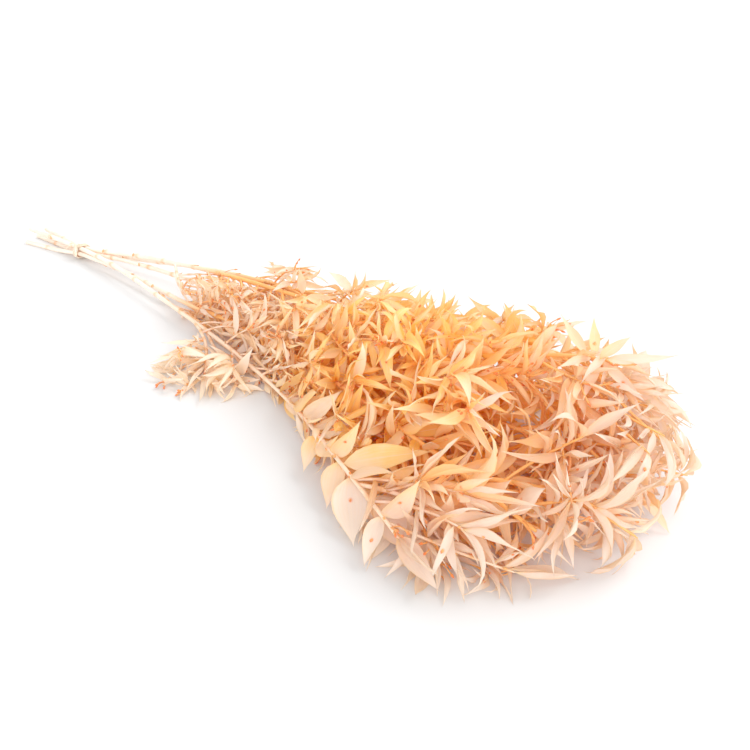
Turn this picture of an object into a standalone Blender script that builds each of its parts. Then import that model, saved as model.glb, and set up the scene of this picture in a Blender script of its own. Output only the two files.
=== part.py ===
"""A bunch of peach-dyed, preserved ruscus lying on a table: five leafy stems drawn together by a raffia tie.

Units are metres and +Z is up. +X runs along the bunch from the cut ends to the leaf tips, +Y across it,
and Z = 0 is the table. The origin is the middle of the bunch's footprint. Each leafy stem is one grown
piece, with its side branches and leaves joined to it, and no leaf of one stem crosses another stem.
"""

import math
import random

import bmesh
import bpy
from mathutils import Matrix, Quaternion, Vector
from mathutils.bvhtree import BVHTree

MM = 0.001
UP = Vector((0, 0, 1))
SEED = 7
WELD = 0.01 * MM

# Routes are measured from a zero on the leafy head's axis, just behind the tie.
ZERO_X, ZERO_Y = -272 * MM, 10 * MM
STEM_RADIUS = 2.1 * MM
STEM_TIP_RADIUS = 1.0 * MM
STEM_STEP = 30 * MM
EVEN_POINTS = 2
FACET = math.cos(math.pi / 6)
REST = STEM_RADIUS * FACET / MM

# Each stem's route, in millimetres: along the bunch from the zero, across it, and above the table.
STEM_ROUTES = {
    "stem_top": [
        (-68, -9, 8), (24, -9.6, 10.6), (110, 5, 20), (210, 12, 32),
        (310, 10, 44), (400, 7, 53), (500, 11, 60), (585, 30, 57),
    ],
    "stem_back": [
        (-66, -1, REST), (-14, -4, REST), (24, -7.2, 6.5), (100, 12, 12), (190, 32, 21),
        (300, 45, 29), (400, 58, 36), (480, 72, 40), (562, 84, 37),
    ],
    "stem_middle": [
        (-72, -17.5, REST), (-14, -12.4, REST), (24, -12, 6.5), (100, 0, 13), (200, 9, 18),
        (300, 6, 24), (400, 2, 29), (500, -4, 32), (598, 8, 30),
    ],
    "stem_near": [
        (-60, -34, REST), (-16, -23, REST), (24, -16.8, 6.5), (100, -11, 8), (207, -12, 10),
        (300, -16, 19), (400, -31, 28), (500, -49, 33), (580, -58, 27),
    ],
    "stem_front": [
        (-64, -26, 13), (24, -14.6, 11.5), (100, -15.5, 12.5), (200, -23, 11),
        (300, -33, 10), (391, -50, 11), (479, -82, 21), (532, -97, 17),
    ],
}

# The outline that the foliage fills: along the bunch from the zero, out to each side, and its height.
OUTLINE = [
    (160, 10, 14, 30), (205, 20, 44, 46), (262, 32, 70, 60), (338, 45, 88, 72), (392, 56, 96, 77),
    (430, 70, 102, 81), (456, 84, 106, 85), (507, 110, 113, 91), (560, 113, 108, 89),
    (590, 78, 82, 79), (604, 50, 58, 68), (616, 28, 28, 52), (632, 8, 8, 30),
]

# A low spray lies beside the bunch near its foot: its middle, and its reach along, across and up.
SPRAY_MIDDLE = (306, -54)
SPRAY_REACH = (52, 44, 27)

# Side branches with a set place, in millimetres from the zero: the low spray's, and the topmost.
PLACED_BRANCHES = {
    "stem_front": [(246, -28, 10), (266, -33, 10), (284, -41, 9), (300, -51, 7), (315, -62, 5)],
    "stem_top": [(500, 11, 60), (520, 13, 68), (538, 15, 74), (551, 18, 77), (561, 20, 78)],
}

# Leaves with a set place: where each leaves its stem or its stem's placed branch, its tip, its width in
# millimetres, and its bend in degrees.
PLACED_ON_STEM = {
    "stem_front": [
        (484, (509, -107, 4), 20, 24), (516, (524, -113, 4), 11, -30), (507, (544, -85, 6), 18, 30),
        (474, (513, -52, 33), 15, -18), (470, (482, -98, 6), 15, 30), (466, (445, -73, 18), 14, 20),
        (440, (452, -88, 7), 13, -20), (529, (561, -101, 7), 13, 20),
    ],
}
PLACED_ON_BRANCH = {
    "stem_front": [
        (312, (345, -87, 4), 7, 20), (307, (328, -87, 5), 7, -16), (302, (307, -90, 4), 8, 18),
        (290, (274, -77, 9), 8, 22), (314, (351, -68, 5), 8, -18), (280, (263, -65, 12), 8, 24),
    ],
    "stem_top": [
        (553, (524, 35, 87), 10, 12), (556, (540, 45, 86), 9, -14), (558, (566, 36, 88), 9, 10),
        (560, (583, 58, 74), 10, 16), (555, (550, -8, 80), 9, -16), (559, (567, -9, 70), 10, 20),
        (560, (589, 12, 68), 11, 24),
    ],
}
TOWARDS = Vector((0.35, -0.45, 0.82))

# Side branches. Shares run from 0 at a shoot's foot to 1 at its tip, and angles are in degrees.
BRANCH_RADIUS = 1.15 * MM
BRANCH_TIP_RADIUS = 0.85 * MM
BRANCH_POINTS = 5
BRANCHES_PER_STEM = 9
FIRST_BRANCH, LAST_BRANCH, HIGHEST_BRANCH = 0.27, 0.95, 0.97
STAGGER = 0.17
BRANCH_LENGTH = (55 * MM, 105 * MM)
LENGTH_AT_FOOT, LENGTH_LOST_BY_TIP = 1.1, 0.35
BRANCH_ANGLE = (24, 48)
BRANCH_SPREAD = (0.1, 0.5)
BRANCH_SAG = (-0.3, 0.15)
BRANCH_SHARE_OF_OUTLINE = 0.8
BRANCH_TRIES = 30
NEXT_TRY_ROLL = (0.4, 1.4)
NEXT_TRY_SHIFT = (-0.012, 0.012)
GOLDEN_ANGLE = math.radians(137.5)

# Leaves. A ruscus leaf is pointed at both ends, folded along its midrib, and bent and twisted as it dries.
LEAF_COUNT = 332
LEAF_LENGTH = (22 * MM, 33 * MM)
LEAF_SPREAD_OF_LENGTH = (0.78, 1.14)
LARGER_LEAVES = {"stem_near": 1.05, "stem_front": 1.2}
LEAF_WIDTH_RATIO = (0.31, 0.46)
LEAF_THICKNESS = 0.7 * MM
LEAF_WIDEST_AT = 0.4
LEAF_POINTEDNESS = 1.6
LEAF_BEND = (6, 55)
PLACED_TWIST, PLACED_FOLD = 14, 14
BEND_SIDES = (-1, -1, 1)
LEAF_TWIST = (-40, 40)
LEAF_FOLD = (4, 32)
FOLD_LOST_BY_TIP = 0.6
LEAF_LEAN = 0.6
LEAF_LIFT = 1.2
LEAF_SWING = 0.35
LEAF_TRIES = 14
TRIES_AT_ONE_LENGTH = 5
SHORTER = 0.85
RIB = (0,)
BOTH_EDGES = (-1, 1)
EDGES_AND_RIB = (-1, 0, 1)
LEAF_ROWS = ((0, RIB), (0.2, BOTH_EDGES), (0.5, EDGES_AND_RIB), (1, RIB))
FREE_LEAF_ROWS = ((0.12, BOTH_EDGES), (0.2, BOTH_EDGES), (0.5, EDGES_AND_RIB), (1, RIB))

# Where leaves grow: a fan of them at each shoot's tip, and alternate leaves along its sides.
LEAF_SPACING = 13 * MM
FIRST_LEAF_ON_BRANCH, FIRST_LEAF_ON_STEM, LAST_SIDE_LEAF = 0.2, 0.55, 0.88
SIDE_LEAF_ANGLE = (34, 62)
SIDE_LEAF_ROLL = 0.7
LEAVES_ROUND_TIP = 4
TIP_LEAF, TIP_LEAF_STEP = 0.97, 0.03
TIP_LEAF_ANGLE = (28, 74)
END_LEAF = 0.99
END_LEAF_ANGLE = (4, 22)
FULL_REACH = 560 * MM

# Room kept round a blade's middle surface and round a branch, and from that surface down to the table.
LEAF_CLEARANCE = 1.0 * MM
BRANCH_CLEARANCE = 0.8 * MM
TABLE_GAP = 0.45 * MM

# How a leaf that would dip through the table is turned up: where it is looked at, and each turn's size.
LOOK_AT = (0.3, 0.5, 0.75, 1)
RISE_TURNS = 3
RISE_SHARE, LEAST_RISE = 1.1, 0.01

# The tie, at the bunch's narrow waist.
TIE_X = ZERO_X + 24 * MM
TIE_LENGTH = 9 * MM
TIE_THICKNESS = 1.3 * MM
TIE_CLEARANCE = 0.35 * MM
TIE_CORNERS = 24

PEACH = (1.0, 0.53, 0.24)
STRAW = (0.8, 0.65, 0.45)


def smooth_route(points, step):
    """Points every step along a Catmull-Rom curve through the given ones."""
    ends = [points[0] * 2 - points[1], *points, points[-1] * 2 - points[-2]]
    route = []
    for a, b, c, d in zip(ends, ends[1:], ends[2:], ends[3:]):
        count = max(1, round((c - b).length / step))
        for k in range(count):
            t = k / count
            bend = (2 * a - 5 * b + 4 * c - d) * t**2 + (3 * b - a - 3 * c + d) * t**3
            route.append((2 * b + (c - a) * t + bend) / 2)
    route.append(points[-1])
    return route


def tangent_at(points, i):
    return (points[min(i + 1, len(points) - 1)] - points[max(i - 1, 0)]).normalized()


def from_zero(x, y, z):
    """The point at these millimetres from the zero, and from the table."""
    return Vector((ZERO_X + x * MM, ZERO_Y + y * MM, z * MM))


def in_outline(point):
    """How far out in the foliage's outline the point is: 0 in the middle of its foot and 1 at its surface."""
    x, y, z = (point.x - ZERO_X) / MM, (point.y - ZERO_Y) / MM, point.z / MM
    middle_x, middle_y = SPRAY_MIDDLE
    reach_x, reach_y, reach_z = SPRAY_REACH
    in_spray = math.hypot((x - middle_x) / reach_x, (y - middle_y) / reach_y, z / reach_z)
    for (x0, *sides0), (x1, *sides1) in zip(OUTLINE, OUTLINE[1:]):
        if x0 <= x <= x1:
            t = (x - x0) / (x1 - x0)
            near, far, height = (a + (b - a) * t for a, b in zip(sides0, sides1))
            return min(in_spray, math.hypot(y / (near if y < 0 else far), z / height))
    return in_spray


def above(point, height):
    """The point, moved up to this height where it is lower."""
    return Vector((point.x, point.y, max(point.z, height)))


class Shoot:
    """A main stem or a side branch: its centre line and the radius at each point of it."""

    def __init__(self, stem, points, base_radius, tip_radius, order):
        self.stem, self.points, self.order = stem, points, order
        taper = (tip_radius - base_radius) / (len(points) - 1 - EVEN_POINTS)
        self.radii = [base_radius + taper * max(0, i - EVEN_POINTS) for i in range(len(points))]
        self.shape = tube_shape(self.points, self.radii)

    def at(self, share):
        """(point, direction) at a share of the shoot's length."""
        place = share * (len(self.points) - 1)
        i = min(int(place), len(self.points) - 2)
        point = self.points[i].lerp(self.points[i + 1], place - i)
        direction = tangent_at(self.points, i).lerp(tangent_at(self.points, i + 1), place - i)
        return point, direction.normalized()

    def passing(self, x):
        """The point where the shoot passes x."""
        a, b = next((a, b) for a, b in zip(self.points, self.points[1:]) if a.x <= x <= b.x)
        return a.lerp(b, (x - a.x) / (b.x - a.x))

    def length(self):
        return sum((b - a).length for a, b in zip(self.points, self.points[1:]))


class Leaf:
    """One blade. frame's columns are its direction at the root, its width and its upper side."""

    def __init__(self, stem, root, frame, length, width, bend, twist, fold):
        self.stem, self.root, self.frame = stem, root, frame
        self.length, self.width = length, width
        self.bend, self.twist, self.fold = bend, twist, fold

    def half_width(self, t):
        """Half the width at t along the blade: widest before its middle, with a drawn-out point."""
        widening = t / LEAF_WIDEST_AT
        narrowing = ((1 - t) / (1 - LEAF_WIDEST_AT)) ** LEAF_POINTEDNESS
        return self.width / 2 * widening * narrowing

    def point(self, t, s):
        """A point of the middle surface: t is 0 at the root and 1 at the tip, s is -1 and 1 at the edges."""
        turn = self.bend * t
        middle = Vector((math.sin(turn), 0, 1 - math.cos(turn))) * (self.length / self.bend)
        along = Vector((math.cos(turn), 0, math.sin(turn)))
        up = Vector((-math.sin(turn), 0, math.cos(turn)))
        fold = self.fold * (1 - FOLD_LOST_BY_TIP * t)
        across = Vector((0, s * math.cos(fold), 0)) + up * (abs(s) * math.sin(fold))
        across.rotate(Quaternion(along, self.twist * t))
        return self.root + self.frame @ (middle + across * self.half_width(t))

    def rise(self):
        """Turns the leaf up about its root until it lies on the table and not through it."""
        for _ in range(RISE_TURNS):
            low = min((self.point(t, s) for t in LOOK_AT for s in EDGES_AND_RIB), key=lambda p: p.z)
            if low.z >= TABLE_GAP:
                return
            reach = (low - self.root).length
            along = self.frame.col[0]
            turn = Quaternion(along.cross(UP), RISE_SHARE * (TABLE_GAP - low.z) / reach + LEAST_RISE)
            self.frame = turn.to_matrix() @ self.frame


def between_rows(a, b):
    """The triangles between two rows of points, given as lists of their numbers."""
    faces = []
    i = j = 0
    while i < len(a) - 1 or j < len(b) - 1:
        if i == len(a) - 1 or j < len(b) - 1 and (j + 1) / (len(b) - 1) < (i + 1) / (len(a) - 1):
            faces.append((a[i], b[j], b[j + 1]))
            j += 1
        else:
            faces.append((a[i], b[j], a[i + 1]))
            i += 1
    return faces


def blade(leaf, rows):
    """(points, triangles, rim) of the blade's middle surface, with a row of points at each (t, across)."""
    points, faces, numbers = [], [], []
    for t, across in rows:
        numbers.append(range(len(points), len(points) + len(across)))
        points += [above(leaf.point(t, s), TABLE_GAP) for s in across]
    for a, b in zip(numbers, numbers[1:]):
        faces += between_rows(a, b)
    rim = [row[0] for row in numbers] + [row[-1] for row in reversed(numbers[:-1])]
    return points, faces, rim


class Shape:
    """A surface with its search tree and its box."""

    def __init__(self, points, faces):
        self.tree = BVHTree.FromPolygons(points, faces)
        self.low = [min(p[k] for p in points) for k in range(3)]
        self.high = [max(p[k] for p in points) for k in range(3)]

    def meets(self, other):
        apart = any(self.high[k] < other.low[k] or other.high[k] < self.low[k] for k in range(3))
        return not apart and bool(self.tree.overlap(other.tree))


def thick_shape(points, faces, rim, half):
    """The blade given half this thickness on each side and the same again round its edge."""
    normals = [Vector() for _ in points]
    for face in faces:
        a, b, c = (points[i] for i in face)
        normal = (b - a).cross(c - a)
        for i in face:
            normals[i] += normal
    middle = sum(points, Vector()) / len(points)
    grown = {i: points[i] + (points[i] - middle).normalized() * half for i in rim}
    points = [grown.get(i, point) for i, point in enumerate(points)]
    offsets = [n.normalized() * half for n in normals]
    count = len(points)
    both = [p + o for p, o in zip(points, offsets)] + [p - o for p, o in zip(points, offsets)]
    sides = [(a, b, b + count, a + count) for a, b in zip(rim, rim[1:] + rim[:1])]
    return Shape(both, faces + [tuple(i + count for i in face) for face in faces] + sides)


def tube_shape(points, radii, clearance=0.0):
    """A square tube that holds the round one."""
    corners, faces = [], []
    for i, (point, radius) in enumerate(zip(points, radii)):
        direction = tangent_at(points, i)
        side = direction.cross(UP).normalized()
        rise = side.cross(direction)
        reach = (radius + clearance) * math.sqrt(2)
        corners += [point + side * reach, point + rise * reach, point - side * reach, point - rise * reach]
    for a in range(0, len(corners) - 4, 4):
        faces += [(a + k, a + (k + 1) % 4, a + 4 + (k + 1) % 4, a + 4 + k) for k in range(4)]
    faces += [(0, 1, 2, 3), tuple(len(corners) - k for k in (4, 3, 2, 1))]
    return Shape(corners, faces)


class Bunch:
    """Grows the bunch, keeping each branch and leaf clear of all that is there before it but its parent."""

    def __init__(self, seed):
        self.rng = random.Random(seed)
        self.stems, self.branches, self.leaves, self.placed = [], [], [], []
        self.grow_stems()
        self.set_places()
        self.grow_branches()
        self.grow_leaves()

    def clear(self, parent, whole, free):
        """Whether whole misses the other stems, and free, which has no root, misses all but its parent."""
        return not any(
            (free if shoot.stem == parent.stem else whole).meets(shape)
            for shoot, shape in self.placed
            if shape is not parent.shape
        )

    def grow_stems(self):
        for order, (name, route) in enumerate(STEM_ROUTES.items()):
            knots = [from_zero(*knot) for knot in route]
            points = [above(p, REST * MM) for p in smooth_route(knots, STEM_STEP)]
            shoot = Shoot(name, points, STEM_RADIUS, STEM_TIP_RADIUS, order)
            self.stems.append(shoot)
            self.placed.append((shoot, shoot.shape))

    def set_places(self):
        """The branches and the leaves that have a set place."""
        for stem in self.stems:
            for leaf in PLACED_ON_STEM.get(stem.stem, ()):
                self.set_leaf(stem, *leaf)
            if stem.stem in PLACED_BRANCHES:
                points = [from_zero(*knot) for knot in PLACED_BRANCHES[stem.stem]]
                points[0] = stem.passing(points[0].x)
                branch = Shoot(stem.stem, points, BRANCH_RADIUS, BRANCH_TIP_RADIUS, stem.order)
                self.branches.append(branch)
                self.placed.append((branch, branch.shape))
                for leaf in PLACED_ON_BRANCH.get(stem.stem, ()):
                    self.set_leaf(branch, *leaf)

    def set_leaf(self, shoot, x, tip, width, bend):
        """A leaf from where the shoot passes x to this tip, with its upper side turned towards the front."""
        root = shoot.passing(ZERO_X + x * MM)
        chord = from_zero(*tip) - root
        across = TOWARDS.cross(chord).normalized()
        half_bend = math.radians(bend) / 2
        along = chord.normalized()
        along.rotate(Quaternion(across, half_bend))
        frame = Matrix((along, across, along.cross(across))).transposed()
        length = chord.length * half_bend / math.sin(half_bend)
        twist, fold = math.radians(PLACED_TWIST), math.radians(PLACED_FOLD)
        leaf = Leaf(shoot.stem, root, frame, length, width * MM, 2 * half_bend, twist, fold)
        self.keep_leaf(leaf, shoot)

    def keep_leaf(self, leaf, shoot):
        self.leaves.append(leaf)
        points, faces, _ = blade(leaf, LEAF_ROWS)
        self.placed.append((shoot, Shape(points, faces)))

    def grow_branches(self):
        for k in range(BRANCHES_PER_STEM):
            for stem in self.stems:
                step = (k + STAGGER * stem.order) / BRANCHES_PER_STEM
                share = FIRST_BRANCH + (LAST_BRANCH - FIRST_BRANCH) * step
                roll = GOLDEN_ANGLE * (k + 2 * stem.order)
                for _ in range(BRANCH_TRIES):
                    if self.try_branch(stem, share, roll):
                        break
                    roll += self.rng.uniform(*NEXT_TRY_ROLL)
                    share += self.rng.uniform(*NEXT_TRY_SHIFT)

    def try_branch(self, stem, share, roll):
        rng = self.rng
        root, forward = stem.at(min(share, HIGHEST_BRANCH))
        outward = forward.cross(UP).normalized()
        outward.rotate(Quaternion(forward, roll))
        angle = math.radians(rng.uniform(*BRANCH_ANGLE))
        start = forward * math.cos(angle) + outward * math.sin(angle)
        sag = UP * rng.uniform(*BRANCH_SAG)
        end = (forward + outward * rng.uniform(*BRANCH_SPREAD) + sag).normalized()
        length = rng.uniform(*BRANCH_LENGTH) * (LENGTH_AT_FOOT - LENGTH_LOST_BY_TIP * share)
        points = [root]
        for i in range(1, BRANCH_POINTS):
            direction = start.lerp(end, i / BRANCH_POINTS).normalized()
            step = points[-1] + direction * (length / (BRANCH_POINTS - 1))
            points.append(above(step, BRANCH_RADIUS + TABLE_GAP))
        if max(in_outline(point) for point in points[1:]) > BRANCH_SHARE_OF_OUTLINE:
            return False
        branch = Shoot(stem.stem, points, BRANCH_RADIUS, BRANCH_TIP_RADIUS, stem.order)
        free = [points[0].lerp(points[1], 0.5), *points[1:]]
        whole_shape = tube_shape(points, branch.radii, BRANCH_CLEARANCE)
        free_shape = tube_shape(free, branch.radii, BRANCH_CLEARANCE)
        if not self.clear(stem, whole_shape, free_shape):
            return False
        self.branches.append(branch)
        self.placed.append((branch, branch.shape))
        return True

    def leaf_places(self, shoot):
        """(rank, shoot, share, roll, angles) for each leaf of the shoot. The lowest ranks are grown first."""
        first = FIRST_LEAF_ON_BRANCH if shoot in self.branches else FIRST_LEAF_ON_STEM
        count = round(shoot.length() * (1 - first) / LEAF_SPACING)
        roll = self.rng.uniform(0, math.tau)
        places = [(0, shoot, END_LEAF, roll, END_LEAF_ANGLE)]
        for k in range(LEAVES_ROUND_TIP):
            rank = (k + 1) / (LEAVES_ROUND_TIP + 1)
            share = TIP_LEAF - TIP_LEAF_STEP * k
            places.append((rank, shoot, share, roll + GOLDEN_ANGLE * k, TIP_LEAF_ANGLE))
        for k in range(count):
            share = first + (LAST_SIDE_LEAF - first) * (k + 0.5) / count
            roll += math.pi + self.rng.uniform(-SIDE_LEAF_ROLL, SIDE_LEAF_ROLL)
            places.append((1 + (count - k) / count, shoot, share, roll, SIDE_LEAF_ANGLE))
        return places

    def grow_leaves(self):
        """The leaves at the tips come first, then one more on every shoot in turn until there are enough."""
        places = []
        for shoot in self.branches + self.stems:
            places += self.leaf_places(shoot)
        places.sort(key=lambda place: place[0])
        for _, shoot, share, roll, angles in places:
            if len(self.leaves) < LEAF_COUNT:
                self.place_leaf(shoot, share, roll, angles)

    def place_leaf(self, shoot, share, roll, angles):
        rng = self.rng
        root, forward = shoot.at(share)
        reach = (root.x - ZERO_X) / FULL_REACH
        length = LEAF_LENGTH[0] + (LEAF_LENGTH[1] - LEAF_LENGTH[0]) * reach
        length *= rng.uniform(*LEAF_SPREAD_OF_LENGTH) * LARGER_LEAVES.get(shoot.stem, 1)
        for attempt in range(LEAF_TRIES):
            swing = LEAF_SWING * (1 + attempt / 3)
            outward = forward.orthogonal().normalized()
            outward.rotate(Quaternion(forward, roll + rng.uniform(-swing, swing)))
            angle = math.radians(rng.uniform(*angles))
            along = forward * math.cos(angle) + outward * math.sin(angle)
            upper = outward.cross(forward).cross(along) + UP * rng.uniform(0, LEAF_LIFT)
            across = upper.cross(along).normalized()
            across.rotate(Quaternion(along, rng.gauss(0, LEAF_LEAN)))
            frame = Matrix((along, across, along.cross(across))).transposed()
            bend = math.radians(rng.choice(BEND_SIDES) * rng.uniform(*LEAF_BEND))
            twist = math.radians(rng.uniform(*LEAF_TWIST))
            fold = math.radians(rng.uniform(*LEAF_FOLD))
            width = length * rng.uniform(*LEAF_WIDTH_RATIO)
            leaf = Leaf(shoot.stem, root, frame, length, width, bend, twist, fold)
            if self.fits(leaf, shoot):
                return
            if attempt % TRIES_AT_ONE_LENGTH == TRIES_AT_ONE_LENGTH - 1:
                length *= SHORTER

    def fits(self, leaf, shoot):
        """Keeps the leaf if it is inside the outline and clear of the rest."""
        leaf.rise()
        if max(in_outline(leaf.point(0.6, 0)), in_outline(leaf.point(1, 0))) > 1:
            return False
        whole = thick_shape(*blade(leaf, LEAF_ROWS), LEAF_CLEARANCE)
        free = thick_shape(*blade(leaf, FREE_LEAF_ROWS), LEAF_CLEARANCE)
        if not self.clear(shoot, whole, free):
            return False
        self.keep_leaf(leaf, shoot)
        return True


def material(name, colour, roughness):
    made = bpy.data.materials.new(name)
    made.use_nodes = True
    shader = made.node_tree.nodes["Principled BSDF"]
    shader.inputs["Base Color"].default_value = (*colour, 1)
    shader.inputs["Roughness"].default_value = roughness
    shader.inputs["Metallic"].default_value = 0
    return made


def solid_from(guide, name, collection):
    """The mesh that a curve object makes, with its caps welded, as an object in the guide's place."""
    bpy.context.view_layer.update()
    mesh = bpy.data.meshes.new_from_object(guide.evaluated_get(bpy.context.evaluated_depsgraph_get()))
    shape = bmesh.new()
    shape.from_mesh(mesh)
    bmesh.ops.remove_doubles(shape, verts=shape.verts, dist=WELD)
    bmesh.ops.recalc_face_normals(shape, faces=shape.faces)
    shape.to_mesh(mesh)
    shape.free()
    made = bpy.data.objects.new(name, mesh)
    made.matrix_world = guide.matrix_world
    collection.objects.link(made)
    bpy.data.objects.remove(guide)
    return made


def tube(name, shoot, sides_level, collection):
    """A tapered tube along the shoot, with a flat facet underneath."""
    curve = bpy.data.curves.new(name, "CURVE")
    curve.dimensions = "3D"
    curve.bevel_depth = 1
    curve.bevel_resolution = sides_level
    curve.use_fill_caps = True
    spline = curve.splines.new("POLY")
    spline.points.add(len(shoot.points) - 1)
    for spot, point, radius in zip(spline.points, shoot.points, shoot.radii):
        spot.co = (*point, 1)
        spot.radius = radius
    guide = bpy.data.objects.new(name + "_guide", curve)
    collection.objects.link(guide)
    return solid_from(guide, name, collection)


def leaf_object(name, leaf, collection):
    """The blade as an open folded surface, given its thickness by Solidify."""
    points, faces, _ = blade(leaf, LEAF_ROWS)
    mesh = bpy.data.meshes.new(name)
    mesh.from_pydata(points, [], faces)
    made = bpy.data.objects.new(name, mesh)
    collection.objects.link(made)
    skin = made.modifiers.new("Thickness", "SOLIDIFY")
    skin.thickness = LEAF_THICKNESS
    skin.offset = 0


def leafy_stem(stem, bunch, parts, dye):
    """One stem with its side branches and leaves joined to it."""
    repeats = bpy.data.collections.new(stem.stem + "_repeats")
    bpy.context.scene.collection.children.link(repeats)
    body = tube(stem.stem, stem, 1, parts)
    for i, branch in enumerate(b for b in bunch.branches if b.stem == stem.stem):
        tube(f"{stem.stem}_branch_{i}", branch, 0, repeats)
    for i, leaf in enumerate(one for one in bunch.leaves if one.stem == stem.stem):
        leaf_object(f"{stem.stem}_leaf_{i}", leaf, repeats)
    join = body.modifiers.new("Join", "BOOLEAN")
    join.operation = "UNION"
    join.operand_type = "COLLECTION"
    join.collection = repeats
    join.solver = "EXACT"
    bpy.context.view_layer.update()
    joined = bpy.data.meshes.new_from_object(body.evaluated_get(bpy.context.evaluated_depsgraph_get()))
    body.modifiers.remove(join)
    body.data = joined
    joined.materials.clear()
    joined.materials.append(dye)
    for helper in list(repeats.objects):
        bpy.data.objects.remove(helper)
    bpy.data.collections.remove(repeats)


def stems_at_tie(bunch):
    """Where each stem's centre passes the ends and the middle of the tie, as (across, up)."""
    rounds = []
    for stem in bunch.stems:
        for x in (TIE_X - TIE_LENGTH / 2, TIE_X, TIE_X + TIE_LENGTH / 2):
            point = stem.passing(x)
            rounds.append(Vector((point.y, point.z)))
    return rounds


def tie(bunch, parts, colour):
    """A flat band drawn round the stems where they cross the waist."""
    rounds = stems_at_tie(bunch)
    curve = bpy.data.curves.new("tie", "CURVE")
    curve.dimensions = "2D"
    curve.fill_mode = "BOTH"
    curve.extrude = TIE_LENGTH / 2
    for offset in (TIE_CLEARANCE, TIE_CLEARANCE + TIE_THICKNESS):
        spline = curve.splines.new("POLY")
        spline.points.add(TIE_CORNERS - 1)
        spline.use_cyclic_u = True
        for k, spot in enumerate(spline.points):
            angle = math.tau * k / TIE_CORNERS
            facing = Vector((math.cos(angle), math.sin(angle)))
            outermost = max(rounds, key=facing.dot)
            corner = outermost + facing * (STEM_RADIUS + offset)
            spot.co = (corner.x, corner.y, 0, 1)
    guide = bpy.data.objects.new("tie_guide", curve)
    guide.matrix_world = Matrix(((0, 0, 1, TIE_X), (1, 0, 0, 0), (0, 1, 0, 0), (0, 0, 0, 1)))
    parts.objects.link(guide)
    made = solid_from(guide, "tie", parts)
    made.data.materials.clear()
    made.data.materials.append(colour)


def main():
    for old in list(bpy.data.objects):
        bpy.data.objects.remove(old)
    parts = bpy.data.collections.new("ruscus_bunch")
    bpy.context.scene.collection.children.link(parts)
    bunch = Bunch(SEED)
    for stem in bunch.stems:
        leafy_stem(stem, bunch, parts, material(stem.stem + "_dye", PEACH, 0.6))
    tie(bunch, parts, material("raffia", STRAW, 0.8))


main()
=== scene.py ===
"""The dried ruscus bunch as it looks: fine leaves, bark, buds and raffia in the place of the plain solids.

Units are metres and +Z is up, in the solids' own frame: +X runs from the cut ends to the leaf tips. The
stems, the side branches and the first leaves are grown by the same rule and the same draws as the solids,
so each lies where its solid does. The twigs and the other leaves then fill the room that is left.
"""

import math
import random
from types import SimpleNamespace

import bpy
import numpy as np
from mathutils import Matrix, Quaternion, Vector
from mathutils.bvhtree import BVHTree


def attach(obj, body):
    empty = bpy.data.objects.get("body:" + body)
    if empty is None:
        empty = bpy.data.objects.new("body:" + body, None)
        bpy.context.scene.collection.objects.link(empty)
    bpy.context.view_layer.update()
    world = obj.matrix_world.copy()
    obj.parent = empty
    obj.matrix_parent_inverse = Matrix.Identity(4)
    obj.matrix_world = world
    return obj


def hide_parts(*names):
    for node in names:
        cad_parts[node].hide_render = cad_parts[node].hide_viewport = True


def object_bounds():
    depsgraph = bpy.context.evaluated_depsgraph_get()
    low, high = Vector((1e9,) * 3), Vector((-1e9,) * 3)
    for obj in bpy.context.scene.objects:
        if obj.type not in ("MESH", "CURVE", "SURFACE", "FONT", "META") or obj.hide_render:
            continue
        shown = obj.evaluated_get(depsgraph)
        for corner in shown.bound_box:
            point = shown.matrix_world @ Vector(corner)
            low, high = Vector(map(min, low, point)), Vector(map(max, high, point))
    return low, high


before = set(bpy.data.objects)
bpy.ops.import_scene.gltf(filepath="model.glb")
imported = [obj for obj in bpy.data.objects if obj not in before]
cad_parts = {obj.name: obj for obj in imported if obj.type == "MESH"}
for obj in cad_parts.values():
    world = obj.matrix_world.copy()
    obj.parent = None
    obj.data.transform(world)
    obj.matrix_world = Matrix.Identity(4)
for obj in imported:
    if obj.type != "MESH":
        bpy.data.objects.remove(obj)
LOW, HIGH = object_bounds()

MM = 0.001
UP = Vector((0, 0, 1))
SEED = 7
FINE_SEED = 11
BODY = "root"

# The rule that the solids follow, with the solids' own values.
# Routes are measured from a zero on the leafy head's axis, just behind the tie.
ZERO_X, ZERO_Y = -272 * MM, 10 * MM
STEM_RADIUS = 2.1 * MM
STEM_TIP_RADIUS = 1.0 * MM
STEM_STEP = 30 * MM
EVEN_POINTS = 2
REST = STEM_RADIUS * math.cos(math.pi / 6) / MM

# Each stem's route, in millimetres: along the bunch from the zero, across it, and above the table.
STEM_ROUTES = {
    "stem_top": [
        (-68, -9, 8), (24, -9.6, 10.6), (110, 5, 20), (210, 12, 32),
        (310, 10, 44), (400, 7, 53), (500, 11, 60), (585, 30, 57),
    ],
    "stem_back": [
        (-66, -1, REST), (-14, -4, REST), (24, -7.2, 6.5), (100, 12, 12), (190, 32, 21),
        (300, 45, 29), (400, 58, 36), (480, 72, 40), (562, 84, 37),
    ],
    "stem_middle": [
        (-72, -17.5, REST), (-14, -12.4, REST), (24, -12, 6.5), (100, 0, 13), (200, 9, 18),
        (300, 6, 24), (400, 2, 29), (500, -4, 32), (598, 8, 30),
    ],
    "stem_near": [
        (-60, -34, REST), (-16, -23, REST), (24, -16.8, 6.5), (100, -11, 8), (207, -12, 10),
        (300, -16, 19), (400, -31, 28), (500, -49, 33), (580, -58, 27),
    ],
    "stem_front": [
        (-64, -26, 13), (24, -14.6, 11.5), (100, -15.5, 12.5), (200, -23, 11),
        (300, -33, 10), (391, -50, 11), (479, -82, 21), (532, -97, 17),
    ],
}

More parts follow.
